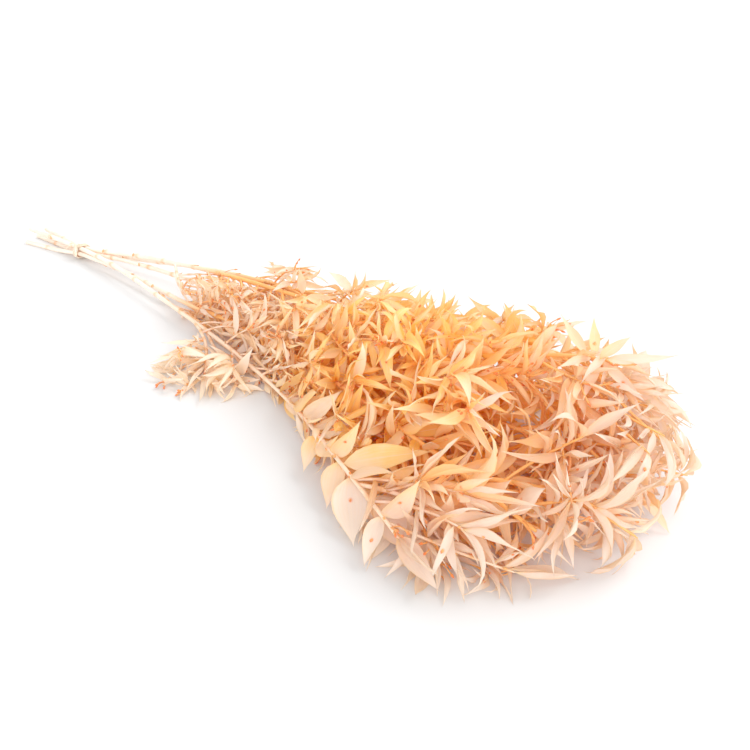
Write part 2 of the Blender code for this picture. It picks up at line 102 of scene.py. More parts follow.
# The outline that the foliage fills: along the bunch from the zero, out to each side, and its height.
OUTLINE = [
    (160, 10, 14, 30), (205, 20, 44, 46), (262, 32, 70, 60), (338, 45, 88, 72), (392, 56, 96, 77),
    (430, 70, 102, 81), (456, 84, 106, 85), (507, 110, 113, 91), (560, 113, 108, 89),
    (590, 78, 82, 79), (604, 50, 58, 68), (616, 28, 28, 52), (632, 8, 8, 30),
]

# A low spray lies beside the bunch near its foot: its middle, and its reach along, across and up.
SPRAY_MIDDLE = (306, -54)
SPRAY_REACH = (52, 44, 27)

# Side branches with a set place, in millimetres from the zero: the low spray's, and the topmost.
PLACED_BRANCHES = {
    "stem_front": [(246, -28, 10), (266, -33, 10), (284, -41, 9), (300, -51, 7), (315, -62, 5)],
    "stem_top": [(500, 11, 60), (520, 13, 68), (538, 15, 74), (551, 18, 77), (561, 20, 78)],
}

# Leaves with a set place: where each leaves its stem or its stem's placed branch, its tip, its width in
# millimetres, and its bend in degrees.
PLACED_ON_STEM = {
    "stem_front": [
        (484, (509, -107, 4), 20, 24), (516, (524, -113, 4), 11, -30), (507, (544, -85, 6), 18, 30),
        (474, (513, -52, 33), 15, -18), (470, (482, -98, 6), 15, 30), (466, (445, -73, 18), 14, 20),
        (440, (452, -88, 7), 13, -20), (529, (561, -101, 7), 13, 20),
    ],
}
PLACED_ON_BRANCH = {
    "stem_front": [
        (312, (345, -87, 4), 7, 20), (307, (328, -87, 5), 7, -16), (302, (307, -90, 4), 8, 18),
        (290, (274, -77, 9), 8, 22), (314, (351, -68, 5), 8, -18), (280, (263, -65, 12), 8, 24),
    ],
    "stem_top": [
        (553, (524, 35, 87), 10, 12), (556, (540, 45, 86), 9, -14), (558, (566, 36, 88), 9, 10),
        (560, (583, 58, 74), 10, 16), (555, (550, -8, 80), 9, -16), (559, (567, -9, 70), 10, 20),
        (560, (589, 12, 68), 11, 24),
    ],
}
TOWARDS = Vector((0.35, -0.45, 0.82))

# Side branches: the angle to the parent is in degrees, and spread and sag are to one step forward.
BRANCH = SimpleNamespace(
    radius=1.15 * MM, tip_radius=0.85 * MM, length=(55 * MM, 105 * MM), angle=(24, 48),
    spread=(0.1, 0.5), sag=(-0.3, 0.15), share_of_outline=0.8, clearance=0.8 * MM, tries=30,
)
SIDE_POINTS = 5
BRANCHES_PER_STEM = 9
FIRST_BRANCH, LAST_BRANCH, HIGHEST_BRANCH = 0.27, 0.95, 0.97
STAGGER, TURN_OF_STEM = 0.17, 2
LENGTH_AT_FOOT, LENGTH_LOST_BY_TIP = 1.1, 0.35
NEXT_TRY_ROLL = (0.4, 1.4)
NEXT_TRY_SHIFT = (-0.012, 0.012)
GOLDEN_ANGLE = math.radians(137.5)

# The solids' leaves: angles are in degrees and the length ratio is to LEAF_LENGTH. The swing about the
# shoot grows from try to try and is doubled after so many.
SOLID_LEAF = SimpleNamespace(
    most=332, spacing=13 * MM, length_ratio=1, shortest=0, width_ratio=(0.31, 0.46), bend=(6, 55),
    twist=(-40, 40), fold=(4, 32), tries=14, tries_at_one_length=5, tries_to_twice_the_swing=3,
)
LEAF_LENGTH = (22 * MM, 33 * MM)
LEAF_SPREAD_OF_LENGTH = (0.78, 1.14)
LARGER_LEAVES = {"stem_near": 1.05, "stem_front": 1.2}
LEAF_WIDEST_AT = 0.4
LEAF_POINTEDNESS = 1.6
PLACED_TWIST, PLACED_FOLD = 14, 14
BEND_SIDES = (-1, -1, 1)
FOLD_LOST_BY_TIP = 0.6
LEAF_LEAN = 0.6
LEAF_LIFT = 1.2
LEAF_SWING = 0.35
SHORTER = 0.85
RIB = (0,)
BOTH_EDGES = (-1, 1)
EDGES_AND_RIB = (-1, 0, 1)
LEAF_ROWS = ((0, RIB), (0.2, BOTH_EDGES), (0.5, EDGES_AND_RIB), (1, RIB))
FREE_LEAF_ROWS = ((0.12, BOTH_EDGES), (0.2, BOTH_EDGES), (0.5, EDGES_AND_RIB), (1, RIB))

FIRST_LEAF_ON_BRANCH, FIRST_LEAF_ON_STEM, LAST_SIDE_LEAF = 0.2, 0.55, 0.88
SIDE_LEAF_ANGLE = (34, 62)
SIDE_LEAF_ROLL = 0.7
LEAVES_ROUND_TIP = 4
TIP_LEAF, TIP_LEAF_STEP = 0.97, 0.03
TIP_LEAF_ANGLE = (28, 74)
END_LEAF = 0.99
END_LEAF_ANGLE = (4, 22)
FULL_REACH = 560 * MM

LEAF_CLEARANCE = 1.0 * MM
TABLE_GAP = 0.45 * MM
LOOK_AT = (0.3, 0.5, 0.75, 1)
OUTLINE_LOOKS = (0.6, 1)
MOST_PLACES = 5000
RISE_TURNS = 3
RISE_SHARE, LEAST_RISE = 1.1, 0.01

# The twigs that grow here on the branches and the upper stems.
TWIG = SimpleNamespace(
    radius=0.75 * MM, tip_radius=0.45 * MM, length=(20 * MM, 65 * MM), angle=(28, 62),
    spread=(0.2, 0.8), sag=(-0.3, 0.3), share_of_outline=0.9, clearance=0.3 * MM, tries=24,
)
TWIGS_PER_BRANCH, TWIG_PLACES_ON_BRANCH = 6, (0.2, 0.9)
TWIGS_PER_STEM, TWIG_PLACES_ON_STEM = 22, (0.42, 0.98)

# The leaves that grow here, looser in shape than the solids' leaves and closer to each other.
FINE_LEAF = SimpleNamespace(
    most=3200, spacing=6 * MM, length_ratio=0.94, shortest=13 * MM, width_ratio=(0.16, 0.31), bend=(4, 80),
    twist=(-80, 80), fold=(3, 48), tries=15, tries_at_one_length=4, tries_to_twice_the_swing=2,
)
FIRST_FINE_LEAF_ON_TWIG, FIRST_FINE_LEAF_ON_BRANCH, FIRST_FINE_LEAF_ON_STEM = 0.2, 0.12, 0.35
FINE_LEAVES_ROUND_TWIG_TIP, FINE_LEAVES_ROUND_TIP = 6, 3
FINE_CLEARANCE = 0.25 * MM
TEST_ROWS = np.array((0.1, 0.22, 0.4, 0.6, 0.8, 0.98))
FREE_TEST_ROWS = np.array((0.16, 0.26, 0.42, 0.6, 0.8, 0.98))
TEST_ACROSS = np.array((-1.0, 0.0, 1.0))

# The blade that takes the place of a solid's leaf on a side branch has this share of its width.
SLIMMER = 0.64

# The foot of the fine foliage, and its near edge: along the bunch from the zero, and out to the near side.
# The front stem lies bare beyond it, but for the low spray.
FINE_FOOT = 222
FINE_NEAR_EDGE = ((230, 16), (302, 27), (338, 37), (382, 53), (400, 66), (430, 120))
SPRAY_STARTS_AT = -48

# At these places along the bunch nothing fine comes so close between the eye and these stems. A leaf that
# is rooted further on than the reach can't hide them.
BARE_STEMS, BARE_PLACES, BARE_BY = ("stem_top", "stem_back"), range(150, 322, 2), 3.4 * MM
BARE_REACH = 90 * MM
FROM_BARE_TO_EYE = (442, -283, 217)
TO_EYE = np.array(FROM_BARE_TO_EYE) / math.hypot(*FROM_BARE_TO_EYE)

# How a blade dried: waved edges, rolled sides, a curled tip and a sweep to one side. Waves grow with the
# width past a wide leaf's, and a loose blade has more of everything.
WAVE, WAVES = (0.2 * MM, 0.7 * MM), (1.0, 2.2)
WAVE_SHARPNESS = 1.6
WIDE_LEAF = 12 * MM
ROLL, ROLL_WHEN_LOOSE = (0.1, 0.8), 1.2
CURL, CURL_WHEN_LOOSE = (-0.5, 0.35), 2
SWEEP, SWEEP_WHEN_LOOSE = (-0.04, 0.04), 2
CURL_STARTS_AT = 0.62
NARROW_FOOT, FOOT_WIDENS_BY = 0.3, 0.15

# A fine blade's rows from root to tip and its columns from edge to edge.
BLADE_ROWS = np.array((0, 0.04, 0.1, 0.18, 0.28, 0.39, 0.51, 0.63, 0.75, 0.86, 0.94, 1))
BLADE_ACROSS = np.array((-1, -0.6, 0, 0.6, 1))
BLADE_HALF_THICKNESS = 0.14 * MM
FOOT_THICKNESS = 0.35 * MM
FOOT_SHARE = 0.05
KEEL = 0.14 * MM


def smooth_route(points, step):
    """Points every step along a Catmull-Rom curve through the given ones."""
    ends = [points[0] * 2 - points[1], *points, points[-1] * 2 - points[-2]]
    route = []
    for a, b, c, d in zip(ends, ends[1:], ends[2:], ends[3:]):
        count = max(1, round((c - b).length / step))
        for k in range(count):
            t = k / count
            bend = (2 * a - 5 * b + 4 * c - d) * t**2 + (3 * b - a - 3 * c + d) * t**3
            route.append((2 * b + (c - a) * t + bend) / 2)
    route.append(points[-1])
    return route


def tangent_at(points, i):
    return (points[min(i + 1, len(points) - 1)] - points[max(i - 1, 0)]).normalized()


def from_zero(x, y, z):
    """The point at these millimetres from the zero, and from the table."""
    return Vector((ZERO_X + x * MM, ZERO_Y + y * MM, z * MM))


def in_outline(point):
    """How far out in the foliage's outline the point is: 0 in the middle of its foot and 1 at its surface."""
    x, y, z = (point.x - ZERO_X) / MM, (point.y - ZERO_Y) / MM, point.z / MM
    middle_x, middle_y = SPRAY_MIDDLE
    reach_x, reach_y, reach_z = SPRAY_REACH
    in_spray = math.hypot((x - middle_x) / reach_x, (y - middle_y) / reach_y, z / reach_z)
    for (x0, *sides0), (x1, *sides1) in zip(OUTLINE, OUTLINE[1:]):
        if x0 <= x <= x1:
            t = (x - x0) / (x1 - x0)
            near, far, height = (a + (b - a) * t for a, b in zip(sides0, sides1))
            return min(in_spray, math.hypot(y / (near if y < 0 else far), z / height))
    return in_spray


def in_fine_outline(point):
    """Whether a twig or a fine leaf may reach the point."""
    x, y = (point.x - ZERO_X) / MM, (point.y - ZERO_Y) / MM
    in_spray = math.hypot(*((np.array((x, y)) - SPRAY_MIDDLE) / SPRAY_REACH[:2])) < 1 and y < SPRAY_STARTS_AT
    return in_spray or x > FINE_FOOT and -y < np.interp(x, *zip(*FINE_NEAR_EDGE))


def turned_round(direction, angle):
    """A unit vector across the direction, turned about it by the angle."""
    outward = direction.orthogonal().normalized()
    outward.rotate(Quaternion(direction, angle))
    return outward


def above(point, height):
    """The point, moved up to this height where it is lower."""
    return Vector((point.x, point.y, max(point.z, height)))


def step_between(low, high, value):
    """0 below low, 1 above high and smooth between them, for a number or an array."""
    t = np.clip((value - low) / (high - low), 0, 1)
    return t * t * (3 - 2 * t)


class Shoot:
    """A main stem, a side branch or a twig: its centre line and the radius at each point of it."""

    def __init__(self, stem, points, base_radius, tip_radius, order):
        self.stem, self.points, self.order = stem, points, order
        taper = (tip_radius - base_radius) / (len(points) - 1 - EVEN_POINTS)
        self.radii = [base_radius + taper * max(0, i - EVEN_POINTS) for i in range(len(points))]
        self.shape = tube_shape(self.points, self.radii)

    def at(self, share):
        """(point, direction) at a share of the shoot's length."""
        place = share * (len(self.points) - 1)
        i = min(int(place), len(self.points) - 2)
        point = self.points[i].lerp(self.points[i + 1], place - i)
        direction = tangent_at(self.points, i).lerp(tangent_at(self.points, i + 1), place - i)
        return point, direction.normalized()

    def passing(self, x):
        """The point where the shoot passes x."""
        a, b = next((a, b) for a, b in zip(self.points, self.points[1:]) if a.x <= x <= b.x)
        return a.lerp(b, (x - a.x) / (b.x - a.x))

    def length(self):
        return sum((b - a).length for a, b in zip(self.points, self.points[1:]))


class Leaf:
    """One blade. pose's columns are its direction at the root, its width and its upper side."""

    def __init__(self, stem, root, pose, length, width, bend, twist, fold):
        self.stem, self.root, self.pose = stem, root, pose
        self.length, self.width = length, width
        self.bend, self.twist, self.fold = bend, twist, fold

    def half_width(self, t):
        """Half the width at t along the blade: widest before its middle, with a drawn-out point."""
        widening = t / LEAF_WIDEST_AT
        narrowing = ((1 - t) / (1 - LEAF_WIDEST_AT)) ** LEAF_POINTEDNESS
        return self.width / 2 * widening * narrowing

    def point(self, t, s):
        """A point of the middle surface: t is 0 at the root and 1 at the tip, s is -1 and 1 at the edges."""
        turn = self.bend * t
        middle = Vector((math.sin(turn), 0, 1 - math.cos(turn))) * (self.length / self.bend)
        along = Vector((math.cos(turn), 0, math.sin(turn)))
        up = Vector((-math.sin(turn), 0, math.cos(turn)))
        fold = self.fold * (1 - FOLD_LOST_BY_TIP * t)
        across = Vector((0, s * math.cos(fold), 0)) + up * (abs(s) * math.sin(fold))
        across.rotate(Quaternion(along, self.twist * t))
        return self.root + self.pose @ (middle + across * self.half_width(t))

    def rise(self):
        """Turns the leaf up about its root until it lies on the table and not through it."""
        for _ in range(RISE_TURNS):
            low = min((self.point(t, s) for t in LOOK_AT for s in EDGES_AND_RIB), key=lambda p: p.z)
            if low.z >= TABLE_GAP:
                return
            reach = (low - self.root).length
            along = self.pose.col[0]
            turn = Quaternion(along.cross(UP), RISE_SHARE * (TABLE_GAP - low.z) / reach + LEAST_RISE)
            self.pose = turn.to_matrix() @ self.pose

    def style(self, rng, looseness):
        """Sets how the blade dried. With looseness 0 it stays close to the solid's form."""
        self.wave = rng.uniform(*WAVE) * (1 + looseness) * (1 + max(0, self.width / WIDE_LEAF - 1))
        self.waves = rng.uniform(*WAVES)
        self.phases = rng.uniform(0, math.tau), rng.uniform(0, math.tau)
        self.roll = rng.uniform(*ROLL) * (1 + ROLL_WHEN_LOOSE * looseness)
        self.curl = rng.uniform(*CURL) * (1 + CURL_WHEN_LOOSE * looseness)
        self.sweep = rng.uniform(*SWEEP) * (1 + SWEEP_WHEN_LOOSE * looseness)
        self.chance = rng.random()

    def surface(self, t, s):
        """The middle surface as it dried, for arrays of t and s, as an array of points."""
        side = np.abs(s)
        half = self.half_width(t) * (NARROW_FOOT + (1 - NARROW_FOOT) * step_between(0, FOOT_WIDENS_BY, t))
        arc = self.roll * side
        out, up = np.sin(arc) / self.roll, (1 - np.cos(arc)) / self.roll
        fold = self.fold * (1 - FOLD_LOST_BY_TIP * t)
        phase = np.where(s > 0, *self.phases)
        wave = self.wave * side**WAVE_SHARPNESS
        wave = wave * np.sin(math.tau * self.waves * t + phase) * np.sin(math.pi * t)
        y = np.sign(s) * (out * np.cos(fold) - up * np.sin(fold)) * half
        z = (out * np.sin(fold) + up * np.cos(fold)) * half + wave
        twist = self.twist * t
        y, z = y * np.cos(twist) - z * np.sin(twist), y * np.sin(twist) + z * np.cos(twist)
        y = y + self.sweep * self.length * t**2
        z = z + self.curl * self.length * np.maximum(0, t - CURL_STARTS_AT) ** 2
        turn = self.bend * t
        radius = self.length / self.bend
        local = np.stack((np.sin(turn) * (radius - z), y, radius - np.cos(turn) * (radius - z)), axis=-1)
        points = np.array(self.root) + local @ np.array(self.pose).T
        points[..., 2] = np.maximum(points[..., 2], TABLE_GAP)
        return points


def between_rows(a, b):
    """The triangles between two rows of points, given as lists of their numbers."""
    faces = []
    i = j = 0
    while i < len(a) - 1 or j < len(b) - 1:
        if i == len(a) - 1 or j < len(b) - 1 and (j + 1) / (len(b) - 1) < (i + 1) / (len(a) - 1):
            faces.append((a[i], b[j], b[j + 1]))
            j += 1
        else:
            faces.append((a[i], b[j], a[i + 1]))
            i += 1
    return faces


def blade(leaf, rows):
    """(points, triangles, rim) of the blade's middle surface, with a row of points at each (t, across)."""
    points, faces, numbers = [], [], []
    for t, across in rows:
        numbers.append(range(len(points), len(points) + len(across)))
        points += [above(leaf.point(t, s), TABLE_GAP) for s in across]
    for a, b in zip(numbers, numbers[1:]):
        faces += between_rows(a, b)
    rim = [row[0] for row in numbers] + [row[-1] for row in reversed(numbers[:-1])]
    return points, faces, rim


class Shape:
    """A surface with its search tree and its box."""

    def __init__(self, points, faces):
        self.tree = BVHTree.FromPolygons(points, faces)
        spots = np.array(points)
        self.low, self.high = spots.min(axis=0), spots.max(axis=0)

    def meets(self, other):
        apart = np.any(self.high < other.low) or np.any(other.high < self.low)
        return not apart and bool(self.tree.overlap(other.tree))


def thick_shape(points, faces, rim, half):
    """The blade given half this thickness on each side and the same again round its edge."""
    normals = [Vector() for _ in points]
    for face in faces:
        a, b, c = (points[i] for i in face)
        normal = (b - a).cross(c - a)
        for i in face:
            normals[i] += normal
    middle = sum(points, Vector()) / len(points)
    grown = {i: points[i] + (points[i] - middle).normalized() * half for i in rim}
    points = [grown.get(i, point) for i, point in enumerate(points)]
    offsets = [n.normalized() * half for n in normals]
    count = len(points)
    both = [p + o for p, o in zip(points, offsets)] + [p - o for p, o in zip(points, offsets)]
    sides = [(a, b, b + count, a + count) for a, b in zip(rim, rim[1:] + rim[:1])]
    return Shape(both, faces + [tuple(i + count for i in face) for face in faces] + sides)


def tube_shape(points, radii, clearance=0.0):
    """A square tube that holds the round one."""
    corners, faces = [], []
    for i, (point, radius) in enumerate(zip(points, radii)):
        direction = tangent_at(points, i)
        side = direction.cross(UP).normalized()
        rise = side.cross(direction)
        reach = (radius + clearance) * math.sqrt(2)
        corners += [point + side * reach, point + rise * reach, point - side * reach, point - rise * reach]
    for a in range(0, len(corners) - 4, 4):
        faces += [(a + k, a + (k + 1) % 4, a + 4 + (k + 1) % 4, a + 4 + k) for k in range(4)]
    faces += [(0, 1, 2, 3), tuple(len(corners) - k for k in (4, 3, 2, 1))]
    return Shape(corners, faces)


def sheet_faces(rows, columns):
    """The quads of a grid of points."""
    return [
        (r * columns + c, r * columns + c + 1, (r + 1) * columns + c + 1, (r + 1) * columns + c)
        for r in range(rows - 1)
        for c in range(columns - 1)
    ]


def sheet_normals(grid):
    """Unit normals of a grid of points, from the differences between its neighbours."""
    down = np.gradient(grid, axis=0)
    right = np.gradient(grid, axis=1)
    normals = np.cross(down, right)
    return normals / np.maximum(np.linalg.norm(normals, axis=-1, keepdims=True), 1e-12)


TEST_GRID = sheet_faces(len(TEST_ROWS), len(TEST_ACROSS))


def tested_points(leaf, rows):
    """The grid of the dressed blade's points that the tests look at."""
    return leaf.surface(*np.meshgrid(rows, TEST_ACROSS, indexing="ij"))


def fine_shape(leaf, rows, clearance):
    """The dressed blade with this clearance round it, or as a bare sheet where the clearance is 0."""
    grid = tested_points(leaf, rows)
    if not clearance:
        return Shape(grid.reshape(-1, 3).tolist(), TEST_GRID)
    normals = sheet_normals(grid)
    outward = grid - grid[:, 1:2]
    outward /= np.maximum(np.linalg.norm(outward, axis=-1, keepdims=True), 1e-9)
    grid = grid + outward * clearance
    points = np.concatenate((grid + normals * clearance, grid - normals * clearance)).reshape(-1, 3)
    count = grid.shape[0] * grid.shape[1]
    return Shape(points.tolist(), TEST_GRID + [tuple(i + count for i in face) for face in TEST_GRID])


class Bunch:
    """Grows the bunch, keeping each branch and leaf clear of all that is there before it but its parent."""

    def __init__(self):
        self.rng = random.Random(SEED)
        self.stems, self.branches, self.twigs, self.leaves = [], [], [], []
        self.forget_places()
        self.grow_stems()
        self.set_places()
        self.grow_branches()
        self.grow_leaves()

    def forget_places(self):
        self.placed = []
        self.boxes = np.empty((MOST_PLACES, 6))

    def keep(self, shoot, shape):
        self.boxes[len(self.placed)] = (*shape.low, *shape.high)
        self.placed.append((shoot, shape))

    def clear(self, parent, whole, free):
        """Whether whole misses the other stems, and free, which has no root, misses all but its parent."""
        boxes = self.boxes[: len(self.placed)]
        low, high = np.minimum(whole.low, free.low), np.maximum(whole.high, free.high)
        near = np.all(boxes[:, :3] <= high, axis=1) & np.all(boxes[:, 3:] >= low, axis=1)
        for i in np.flatnonzero(near):
            shoot, shape = self.placed[i]
            tested = free if shoot.stem == parent.stem else whole
            if shape is not parent.shape and tested.meets(shape):
                return False
        return True

    def grow_stems(self):
        for order, (name, route) in enumerate(STEM_ROUTES.items()):
            knots = [from_zero(*knot) for knot in route]
            points = [above(p, REST * MM) for p in smooth_route(knots, STEM_STEP)]
            shoot = Shoot(name, points, STEM_RADIUS, STEM_TIP_RADIUS, order)
            self.stems.append(shoot)
            self.keep(shoot, shoot.shape)

    def set_places(self):
        """The branches and the leaves that have a set place."""
        for stem in self.stems:
            for leaf in PLACED_ON_STEM.get(stem.stem, ()):
                self.set_leaf(stem, *leaf)
            if stem.stem in PLACED_BRANCHES:
                points = [from_zero(*knot) for knot in PLACED_BRANCHES[stem.stem]]
                points[0] = stem.passing(points[0].x)
                branch = Shoot(stem.stem, points, BRANCH.radius, BRANCH.tip_radius, stem.order)
                self.branches.append(branch)
                self.keep(branch, branch.shape)
                for leaf in PLACED_ON_BRANCH.get(stem.stem, ()):
                    self.set_leaf(branch, *leaf)

    def set_leaf(self, shoot, x, tip, width, bend):
        """A leaf from where the shoot passes x to this tip, with its upper side turned towards the front."""
        root = shoot.passing(ZERO_X + x * MM)
        chord = from_zero(*tip) - root
        across = TOWARDS.cross(chord).normalized()
        half_bend = math.radians(bend) / 2
        along = chord.normalized()
        along.rotate(Quaternion(across, half_bend))
        pose = Matrix((along, across, along.cross(across))).transposed()
        length = chord.length * half_bend / math.sin(half_bend)
        twist, fold = math.radians(PLACED_TWIST), math.radians(PLACED_FOLD)
        leaf = Leaf(shoot.stem, root, pose, length, width * MM, 2 * half_bend, twist, fold)
        self.keep_leaf(leaf, shoot)

    def keep_leaf(self, leaf, shoot):
        leaf.shoot = shoot
        self.leaves.append(leaf)
        points, faces, _ = blade(leaf, LEAF_ROWS)
        self.keep(shoot, Shape(points, faces))

    def side_route(self, kind, parent, share, roll, length_share=1):
        """Points for a branch or a twig that leaves its parent at this share, turned about it by the roll."""
        rng = self.rng
        root, forward = parent.at(share)
        outward = forward.cross(UP).normalized()
        outward.rotate(Quaternion(forward, roll))
        angle = math.radians(rng.uniform(*kind.angle))
        start = forward * math.cos(angle) + outward * math.sin(angle)
        sag = UP * rng.uniform(*kind.sag)
        end = (forward + outward * rng.uniform(*kind.spread) + sag).normalized()
        length = rng.uniform(*kind.length) * length_share
        points = [root]
        for i in range(1, SIDE_POINTS):
            direction = start.lerp(end, i / SIDE_POINTS).normalized()
            step = points[-1] + direction * (length / (SIDE_POINTS - 1))
            points.append(above(step, kind.radius + TABLE_GAP))
        return points

    def keep_side_shoot(self, kind, parent, points, family):
        """Adds the branch or twig to its family if it is inside the outline and clear of the rest."""
        if max(in_outline(point) for point in points[1:]) > kind.share_of_outline:
            return False
        shoot = Shoot(parent.stem, points, kind.radius, kind.tip_radius, parent.order)
        free = [points[0].lerp(points[1], 0.5), *points[1:]]
        whole_shape = tube_shape(points, shoot.radii, kind.clearance)
        free_shape = tube_shape(free, shoot.radii, kind.clearance)
        if not self.clear(parent, whole_shape, free_shape):
            return False
        family.append(shoot)
        self.keep(shoot, shoot.shape)
        return True

    def grow_branches(self):
        for k in range(BRANCHES_PER_STEM):
            for stem in self.stems:
                step = (k + STAGGER * stem.order) / BRANCHES_PER_STEM
                share = FIRST_BRANCH + (LAST_BRANCH - FIRST_BRANCH) * step
                roll = GOLDEN_ANGLE * (k + TURN_OF_STEM * stem.order)
                for _ in range(BRANCH.tries):
                    length_share = LENGTH_AT_FOOT - LENGTH_LOST_BY_TIP * share
                    points = self.side_route(BRANCH, stem, min(share, HIGHEST_BRANCH), roll, length_share)
                    if self.keep_side_shoot(BRANCH, stem, points, self.branches):
                        break
                    roll += self.rng.uniform(*NEXT_TRY_ROLL)
                    share += self.rng.uniform(*NEXT_TRY_SHIFT)

    def side_leaf_places(self, kind, shoot, first, roll, place_in_step):
        """(rank, shoot, share, roll, angles) for each leaf along the two sides of the shoot."""
        count = round(shoot.length() * (1 - first) / kind.spacing)
        places = []
        for k in range(count):
            share = first + (LAST_SIDE_LEAF - first) * (k + place_in_step()) / count
            roll += math.pi + self.rng.uniform(-SIDE_LEAF_ROLL, SIDE_LEAF_ROLL)
            places.append((1 + (count - k) / count, shoot, share, roll, SIDE_LEAF_ANGLE))
        return places

    def leaf_places(self, shoot):
        """The places of all the shoot's leaves. The lowest ranks are grown first."""
        first = FIRST_LEAF_ON_BRANCH if shoot in self.branches else FIRST_LEAF_ON_STEM
        roll = self.rng.uniform(0, math.tau)
        places = [(0, shoot, END_LEAF, roll, END_LEAF_ANGLE)]
        for k in range(LEAVES_ROUND_TIP):
            rank = (k + 1) / (LEAVES_ROUND_TIP + 1)
            share = TIP_LEAF - TIP_LEAF_STEP * k
            places.append((rank, shoot, share, roll + GOLDEN_ANGLE * k, TIP_LEAF_ANGLE))
        return places + self.side_leaf_places(SOLID_LEAF, shoot, first, roll, lambda: 0.5)

    def grow_leaves(self):
        places = []
        for shoot in self.branches + self.stems:
            places += self.leaf_places(shoot)
        self.grow_at(places, SOLID_LEAF, self.fits, SOLID_LEAF.most)

    def grow_at(self, places, kind, fits, most):
        """The leaves at the tips come first, then one more on every shoot in turn until there are enough."""
        for _, *place in sorted(places, key=lambda place: place[0]):
            if len(self.leaves) < most:
                self.grow_leaf(kind, fits, *place)

    def grow_leaf(self, kind, fits, shoot, share, roll, angles):
        """Tries leaves of this kind at one place until one fits, with shorter ones after every few tries."""
        rng = self.rng
        root, forward = shoot.at(share)
        reach = (root.x - ZERO_X) / FULL_REACH
        length = (LEAF_LENGTH[0] + (LEAF_LENGTH[1] - LEAF_LENGTH[0]) * reach) * kind.length_ratio
        length *= rng.uniform(*LEAF_SPREAD_OF_LENGTH) * LARGER_LEAVES.get(shoot.stem, 1)
        for attempt in range(kind.tries):
            swing = LEAF_SWING * (1 + attempt / kind.tries_to_twice_the_swing)
            outward = turned_round(forward, roll + rng.uniform(-swing, swing))
            angle = math.radians(rng.uniform(*angles))
            along = forward * math.cos(angle) + outward * math.sin(angle)
            upper = outward.cross(forward).cross(along) + UP * rng.uniform(0, LEAF_LIFT)
            across = upper.cross(along).normalized()
            across.rotate(Quaternion(along, rng.gauss(0, LEAF_LEAN)))
            pose = Matrix((along, across, along.cross(across))).transposed()
            bend = math.radians(rng.choice(BEND_SIDES) * rng.uniform(*kind.bend))
            twist = math.radians(rng.uniform(*kind.twist))
            fold = math.radians(rng.uniform(*kind.fold))
            width = length * rng.uniform(*kind.width_ratio)
            if fits(Leaf(shoot.stem, root, pose, length, width, bend, twist, fold), shoot):
                return
            if (attempt + 1) % kind.tries_at_one_length == 0:
                length = max(kind.shortest, length * SHORTER)

    def fits(self, leaf, shoot):
        """Keeps the leaf if it is inside the outline and clear of the rest."""
        leaf.rise()
        if max(in_outline(leaf.point(t, 0)) for t in OUTLINE_LOOKS) > 1:
            return False
        whole = thick_shape(*blade(leaf, LEAF_ROWS), LEAF_CLEARANCE)
        free = thick_shape(*blade(leaf, FREE_LEAF_ROWS), LEAF_CLEARANCE)
        if not self.clear(shoot, whole, free):
            return False
        self.keep_leaf(leaf, shoot)
        return True

    def fill(self):
        """Adds the twigs and the leaves that only the looks need."""
        self.rng = random.Random(FINE_SEED)
        bare = [stem for stem in self.stems if stem.stem in BARE_STEMS]
        self.bare = np.array([stem.passing(ZERO_X + x * MM) for stem in bare for x in BARE_PLACES])
        self.forget_places()
        for shoot in self.stems + self.branches:
            self.keep(shoot, shoot.shape)
        for leaf in self.leaves:
            if leaf.shoot not in self.stems:
                leaf.width *= SLIMMER
            leaf.style(self.rng, 0)
            self.keep(leaf.shoot, fine_shape(leaf, TEST_ROWS, 0))
        for k in range(max(TWIGS_PER_BRANCH, TWIGS_PER_STEM)):
            for shoots, count, places in (
                (self.branches, TWIGS_PER_BRANCH, TWIG_PLACES_ON_BRANCH),
                (self.stems, TWIGS_PER_STEM, TWIG_PLACES_ON_STEM),
            ):
                for shoot in shoots:
                    if k < count:
                        share = places[0] + (places[1] - places[0]) * (k + self.rng.random()) / count
                        self.grow_twig(shoot, share, self.rng.uniform(0, math.tau))
        self.fill_leaves()

    def hides_stem(self, points):
        """Whether any of the points lies in front of the stems' parts that are seen bare."""
        if points[0, 0] > self.bare[-1, 0] + BARE_REACH:
            return False
        away = points[:, None] - self.bare
        along = away @ TO_EYE
        aside = np.linalg.norm(away - along[..., None] * TO_EYE, axis=-1)
        return np.any((along > 0) & (aside < BARE_BY))

    def grow_twig(self, parent, share, roll):
        for _ in range(TWIG.tries):
            points = self.side_route(TWIG, parent, share, roll)
            roll += self.rng.uniform(*NEXT_TRY_ROLL)
            free = in_fine_outline(points[-1]) and not self.hides_stem(np.array(points[1:]))
            if free and self.keep_side_shoot(TWIG, parent, points, self.twigs):
                return

    def fine_leaf_places(self, shoot, first, round_tip):
        """The places of all the shoot's fine leaves."""
        roll = self.rng.uniform(0, math.tau)
        places = []
        for k in range(round_tip):
            share = END_LEAF if k == 0 else TIP_LEAF - TIP_LEAF_STEP * (k - 1)
            angles = END_LEAF_ANGLE if k == 0 else TIP_LEAF_ANGLE
            places.append((k / round_tip, shoot, share, roll + GOLDEN_ANGLE * k, angles))
        return places + self.side_leaf_places(FINE_LEAF, shoot, first, roll, self.rng.random)

    def fill_leaves(self):
        places = []
        for shoots, first, round_tip in (
            (self.twigs, FIRST_FINE_LEAF_ON_TWIG, FINE_LEAVES_ROUND_TWIG_TIP),
            (self.branches, FIRST_FINE_LEAF_ON_BRANCH, FINE_LEAVES_ROUND_TIP),
            (self.stems, FIRST_FINE_LEAF_ON_STEM, FINE_LEAVES_ROUND_TIP),
        ):
            for shoot in shoots:
                places += self.fine_leaf_places(shoot, first, round_tip)
        self.grow_at(places, FINE_LEAF, self.fits_finely, len(self.leaves) + FINE_LEAF.most)

